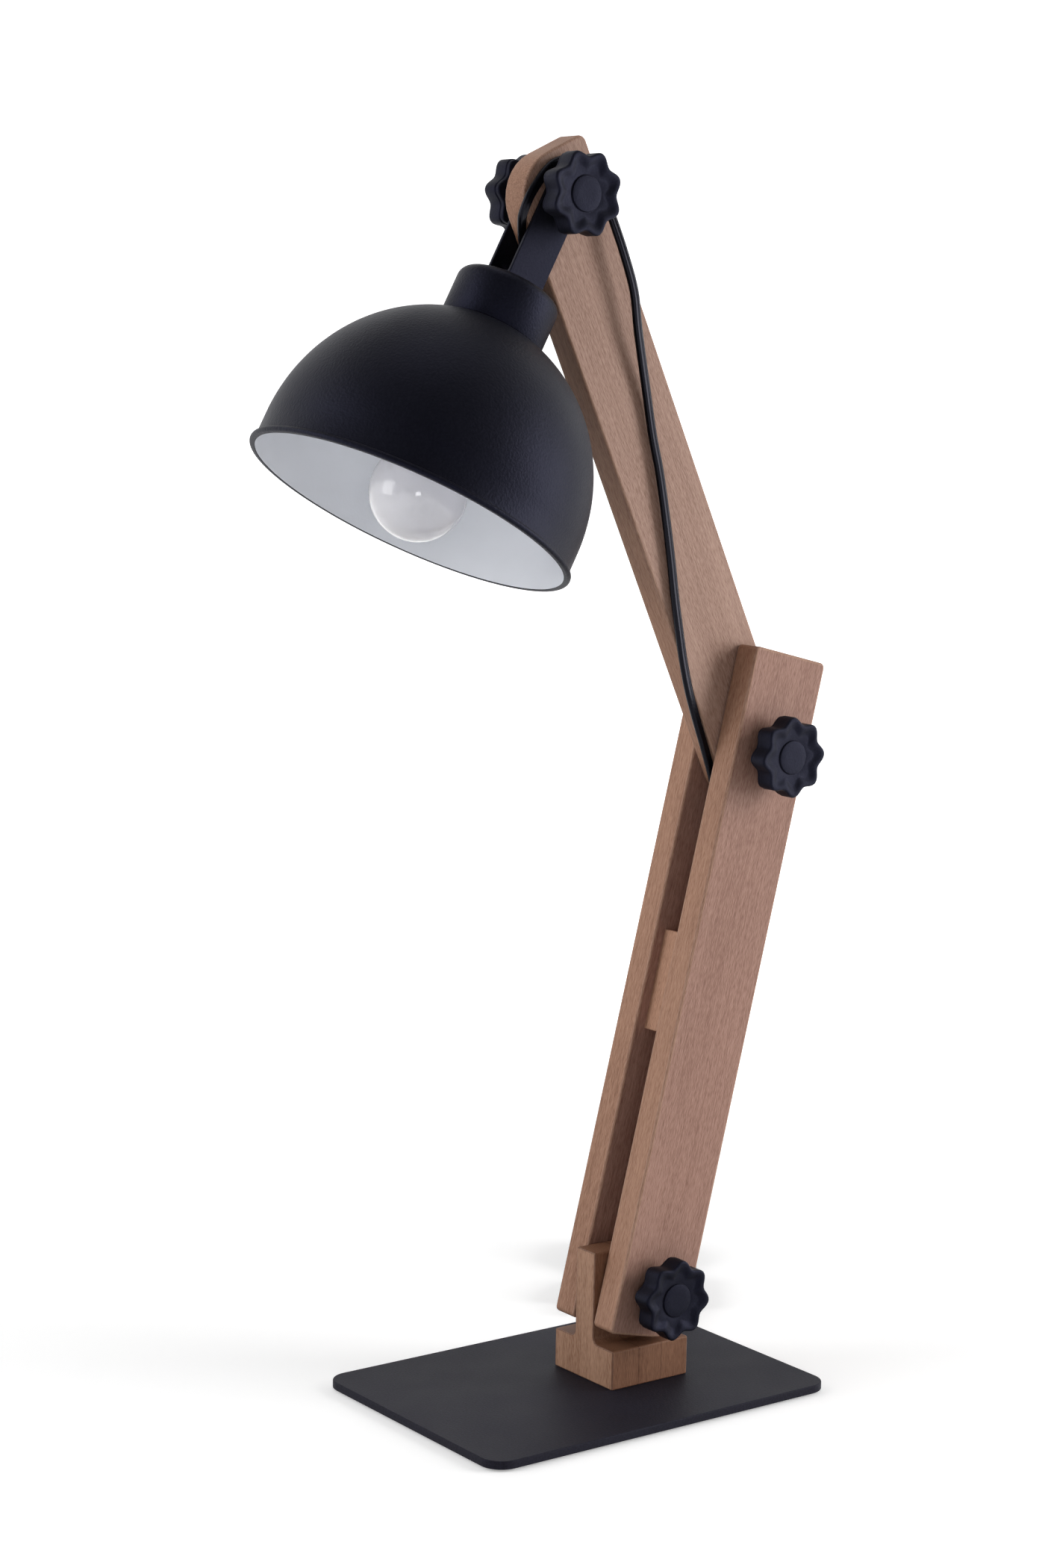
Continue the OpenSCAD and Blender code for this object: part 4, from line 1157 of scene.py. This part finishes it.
def yoke_half():
    """The right half of the strap from its round end to the middle: (point, half width) pairs."""
    middle = YOKE_OUT - YOKE_T / 2
    low = NECK_TOP_Z + YOKE_T / 2
    end_angle = 86
    end_steps = 8
    bend_steps = 6
    half = []
    for k in range(end_steps + 1):
        a = math.radians(end_angle - end_angle * k / end_steps)
        half.append((Vector((middle, 0, YOKE_HALF_W * math.sin(a))), YOKE_HALF_W * math.cos(a)))
    half.append((Vector((middle, 0, low + YOKE_BEND)), YOKE_HALF_W))
    for k in range(1, bend_steps + 1):
        a = math.pi / 2 * k / bend_steps
        at = Vector((middle - YOKE_BEND * (1 - math.cos(a)), 0, low + YOKE_BEND * (1 - math.sin(a))))
        half.append((at, YOKE_HALF_W))
    return half


def strap_section(half_w):
    """The strap's outline with eased corners: (across, through) pairs."""
    half_t = YOKE_T / 2
    section = []
    for y, n in ((1, 1), (-1, 1), (-1, -1), (1, -1)):
        wide = (y * (half_w - YOKE_EASE), n * half_t)
        thin = (y * half_w, n * (half_t - YOKE_EASE))
        section += [thin, wide] if y * n > 0 else [wide, thin]
    return section


def add_yoke():
    """A strap bent into a U, with round ends at the pivot."""
    half = yoke_half()
    full = half + [(Vector((-p.x, 0, p.z)), w) for p, w in reversed(half)]
    path = [p for p, _ in full]
    points = []
    for p, way, (_, half_w) in zip(path, tangents(path), full):
        out = Vector((0, 1, 0)).cross(way)
        points += [HEAD @ (p + Vector((0, y, 0)) + out * n) for y, n in strap_section(half_w)]
    faces = ring_faces(len(path), len(strap_section(YOKE_HALF_W)))
    piece = add_mesh("yoke_coated", points, faces, [yoke_coat], sharp=YOKE_SHARP_EDGE)
    flatten_shading(piece)
    finish_piece(piece, "head", "coated_steel", "yoke")


GLOBE_R = 22.0
GLOBE_IN = 10.6
GLOBE_Z = RIM_Z + GLOBE_IN
BULB_L = 78.0
BULB_CAP_R = 13.0
BULB_CAP_H = 25
BULB_CONTACT_H = 2
BULB_CAP_LOW_Z = GLOBE_Z - GLOBE_R + BULB_L - BULB_CONTACT_H - BULB_CAP_H
GLOBE_JOIN = math.radians(40)
POLE_R = 0.05


def add_globe():
    """The opal globe, drawn up into a neck at its cap."""
    steps = 40
    neck_steps = 10
    profile = []
    for i in range(steps + 1):
        a = -math.pi / 2 + (math.pi / 2 + GLOBE_JOIN) * i / steps
        profile.append((max(POLE_R, GLOBE_R * math.cos(a)), GLOBE_Z + GLOBE_R * math.sin(a)))
    last_r, last_z = profile[-1]
    for k in range(1, neck_steps + 1):
        t = k / neck_steps
        ease = t * (2 - t)
        profile.append((last_r + (BULB_CAP_R - last_r) * ease, last_z + (BULB_CAP_LOW_Z - last_z) * t))
    profile.append((POLE_R, BULB_CAP_LOW_Z))
    piece = revolve("bulb_globe_opal", profile, HEAD, [opal])
    finish_piece(piece, "head", "opal_glass", "bulb_globe")


add_shade()
add_neck()
add_yoke()
add_globe()


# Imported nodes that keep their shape

SHELL_EDGE_R = 0.9
BOLT_EDGE_R = 0.5
SMALL_EDGE_R = 0.4
KNOBS = ("base_knob", "elbow_knob", "head_knob_left", "head_knob_right")
dress(pad_rubber, "base_pad")
dress(zinc, "foot_screw_front", "foot_screw_rear", "base_bolt", "elbow_bolt", "head_stud", "nut_lower")
dress(shade_coat, "nut_upper", "nipple")
dress(lower_wood[FACE], "spacer_dowel_low", "spacer_dowel_high")
dress(washer_fibre, "base_washer_left", "base_washer_right", "elbow_washer_left", "elbow_washer_right")
dress(fitting_plastic, "cord_grip", "coil_tie", "plug_body")
dress(fitting_plastic, "switch_base", "switch_cover", "switch_rocker")
dress(nickel, "plug_pin_left", "plug_pin_right")
dress(holder_white, "holder_dome", "holder_body", "holder_ring")
dress(cap_metal, "bulb_cap")
dress(brass, *(f"{name}_insert" for name in KNOBS))
soften(SHELL_EDGE_R, "switch_cover", "switch_base", "plug_body")
soften(SMALL_EDGE_R, "switch_rocker", "coil_tie", "plug_pin_left", "plug_pin_right")
soften(BOLT_EDGE_R, "base_bolt", "elbow_bolt")


# Studio, in metres

WHITE = (1, 1, 1, 1)
STAGE_ALBEDO = 0.8
FILL = 0.20
FLOOR_HALF = 60.0
# The floor's glow rises from its least to full white between these distances from the origin
SHADOW_GLOW = 0.35
SHADOW_REACH = 0.3
WHITE_REACH = 1.2
BACKDROP_R = 5.0
BACKDROP_H = 6.0
BACKDROP_STEPS = 24
BACKDROP_LIGHT = 0.4
MIDDLE = Vector((0, 0, 0.3))


def seen_factor(tree):
    """1 for a ray that shows the background: straight from the camera, in a gloss or through glass."""
    path = node(tree, "ShaderNodeLightPath")
    shown = combine(tree, "MAXIMUM", path.outputs["Is Camera Ray"], path.outputs["Is Glossy Ray"])
    return combine(tree, "MAXIMUM", shown, path.outputs["Is Transmission Ray"])


def glow_material(name, glow):
    """A matt white that also glows; glow makes the strength from the material's tree."""
    material = bpy.data.materials.new(name)
    material.use_nodes = True
    tree = material.node_tree
    tree.nodes.clear()
    diffuse = node(tree, "ShaderNodeBsdfDiffuse", Color=(STAGE_ALBEDO, STAGE_ALBEDO, STAGE_ALBEDO, 1))
    light = node(tree, "ShaderNodeEmission", Color=WHITE, Strength=glow(tree))
    both = node(tree, "ShaderNodeAddShader")
    tree.links.new(diffuse.outputs[0], both.inputs[0])
    tree.links.new(light.outputs[0], both.inputs[1])
    out = node(tree, "ShaderNodeOutputMaterial")
    tree.links.new(both.outputs[0], out.inputs["Surface"])
    return material


def floor_glow(tree):
    """Little glow under the object, where the floor keeps its shadow, and full white away from it."""
    away = node(tree, "ShaderNodeVectorMath", {"operation": "LENGTH"})
    tree.links.new(here(tree), away.inputs[0])
    reach = node(tree, "ShaderNodeMapRange", Value=away.outputs["Value"], From_Min=SHADOW_REACH,
                 From_Max=WHITE_REACH, To_Min=SHADOW_GLOW, To_Max=1.0).outputs["Result"]
    return combine(tree, "MULTIPLY", reach, seen_factor(tree))


def backdrop_glow(tree):
    """White where it is seen, and a weaker light for what it falls on."""
    return span(tree, seen_factor(tree), BACKDROP_LIGHT, 1.0)


def add_stage(name, points, faces, material):
    """A piece of the studio round the object."""
    mesh = bpy.data.meshes.new(name)
    mesh.from_pydata(points, [], faces)
    mesh.materials.append(material)
    piece = bpy.data.objects.new(name, mesh)
    bpy.context.scene.collection.objects.link(piece)


def add_floor():
    """A plain white floor that keeps a soft shadow."""
    half = FLOOR_HALF
    corners = [(-half, -half, 0), (half, -half, 0), (half, half, 0), (-half, half, 0)]
    add_stage("floor", corners, [(0, 1, 2, 3)], glow_material("floor", floor_glow))


def add_backdrop():
    """A white half round behind the object, as the camera sees it."""
    _, _, back = camera_axes()
    ahead = math.atan2(-back.y, -back.x)
    points = []
    for k in range(BACKDROP_STEPS + 1):
        a = ahead + math.pi * (k / BACKDROP_STEPS - 0.5)
        for z in (0, BACKDROP_H):
            points.append((BACKDROP_R * math.cos(a), BACKDROP_R * math.sin(a), z))
    faces = [(2 * k, 2 * k + 2, 2 * k + 3, 2 * k + 1) for k in range(BACKDROP_STEPS)]
    add_stage("backdrop", points, faces, glow_material("backdrop", backdrop_glow))


def add_world():
    """Even fill light, which is white where the camera looks straight at it."""
    world = bpy.data.worlds.new("studio")
    bpy.context.scene.world = world
    world.use_nodes = True
    tree = world.node_tree
    background = tree.nodes["Background"]
    background.inputs["Color"].default_value = WHITE
    looked_at = node(tree, "ShaderNodeLightPath").outputs["Is Camera Ray"]
    tree.links.new(span(tree, looked_at, FILL, 1.0), background.inputs["Strength"])


def add_softbox(name, offset, size, power):
    """A rectangular lamp aimed at the object's middle.

    It stands at an offset along the camera's right, up and back from there.
    """
    right, up, back = camera_axes()
    width, height = size
    data = bpy.data.lights.new(name, "AREA")
    data.shape = "RECTANGLE"
    data.size = width
    data.size_y = height
    data.energy = power
    lamp = bpy.data.objects.new(name, data)
    at = MIDDLE + right * offset[0] + up * offset[1] + back * offset[2]
    lamp.location = at
    lamp.rotation_mode = "QUATERNION"
    lamp.rotation_quaternion = (MIDDLE - at).to_track_quat("-Z", "Y")
    bpy.context.scene.collection.objects.link(lamp)


add_floor()
add_backdrop()
add_world()
add_softbox("softbox_right", offset=(1.5, 0.2, 0.1), size=(0.6, 1.2), power=20.5)
add_softbox("softbox_left", offset=(-1.38, 0.55, 0.50), size=(0.8, 1.2), power=13)
add_softbox("softbox_top", offset=(0.0, 1.5, 0.1), size=(1.0, 1.0), power=4)
add_softbox("softbox_front", offset=(0.0, -0.2, 2.2), size=(0.4, 0.35), power=4.0)
bpy.context.scene.view_settings.view_transform = "Standard"
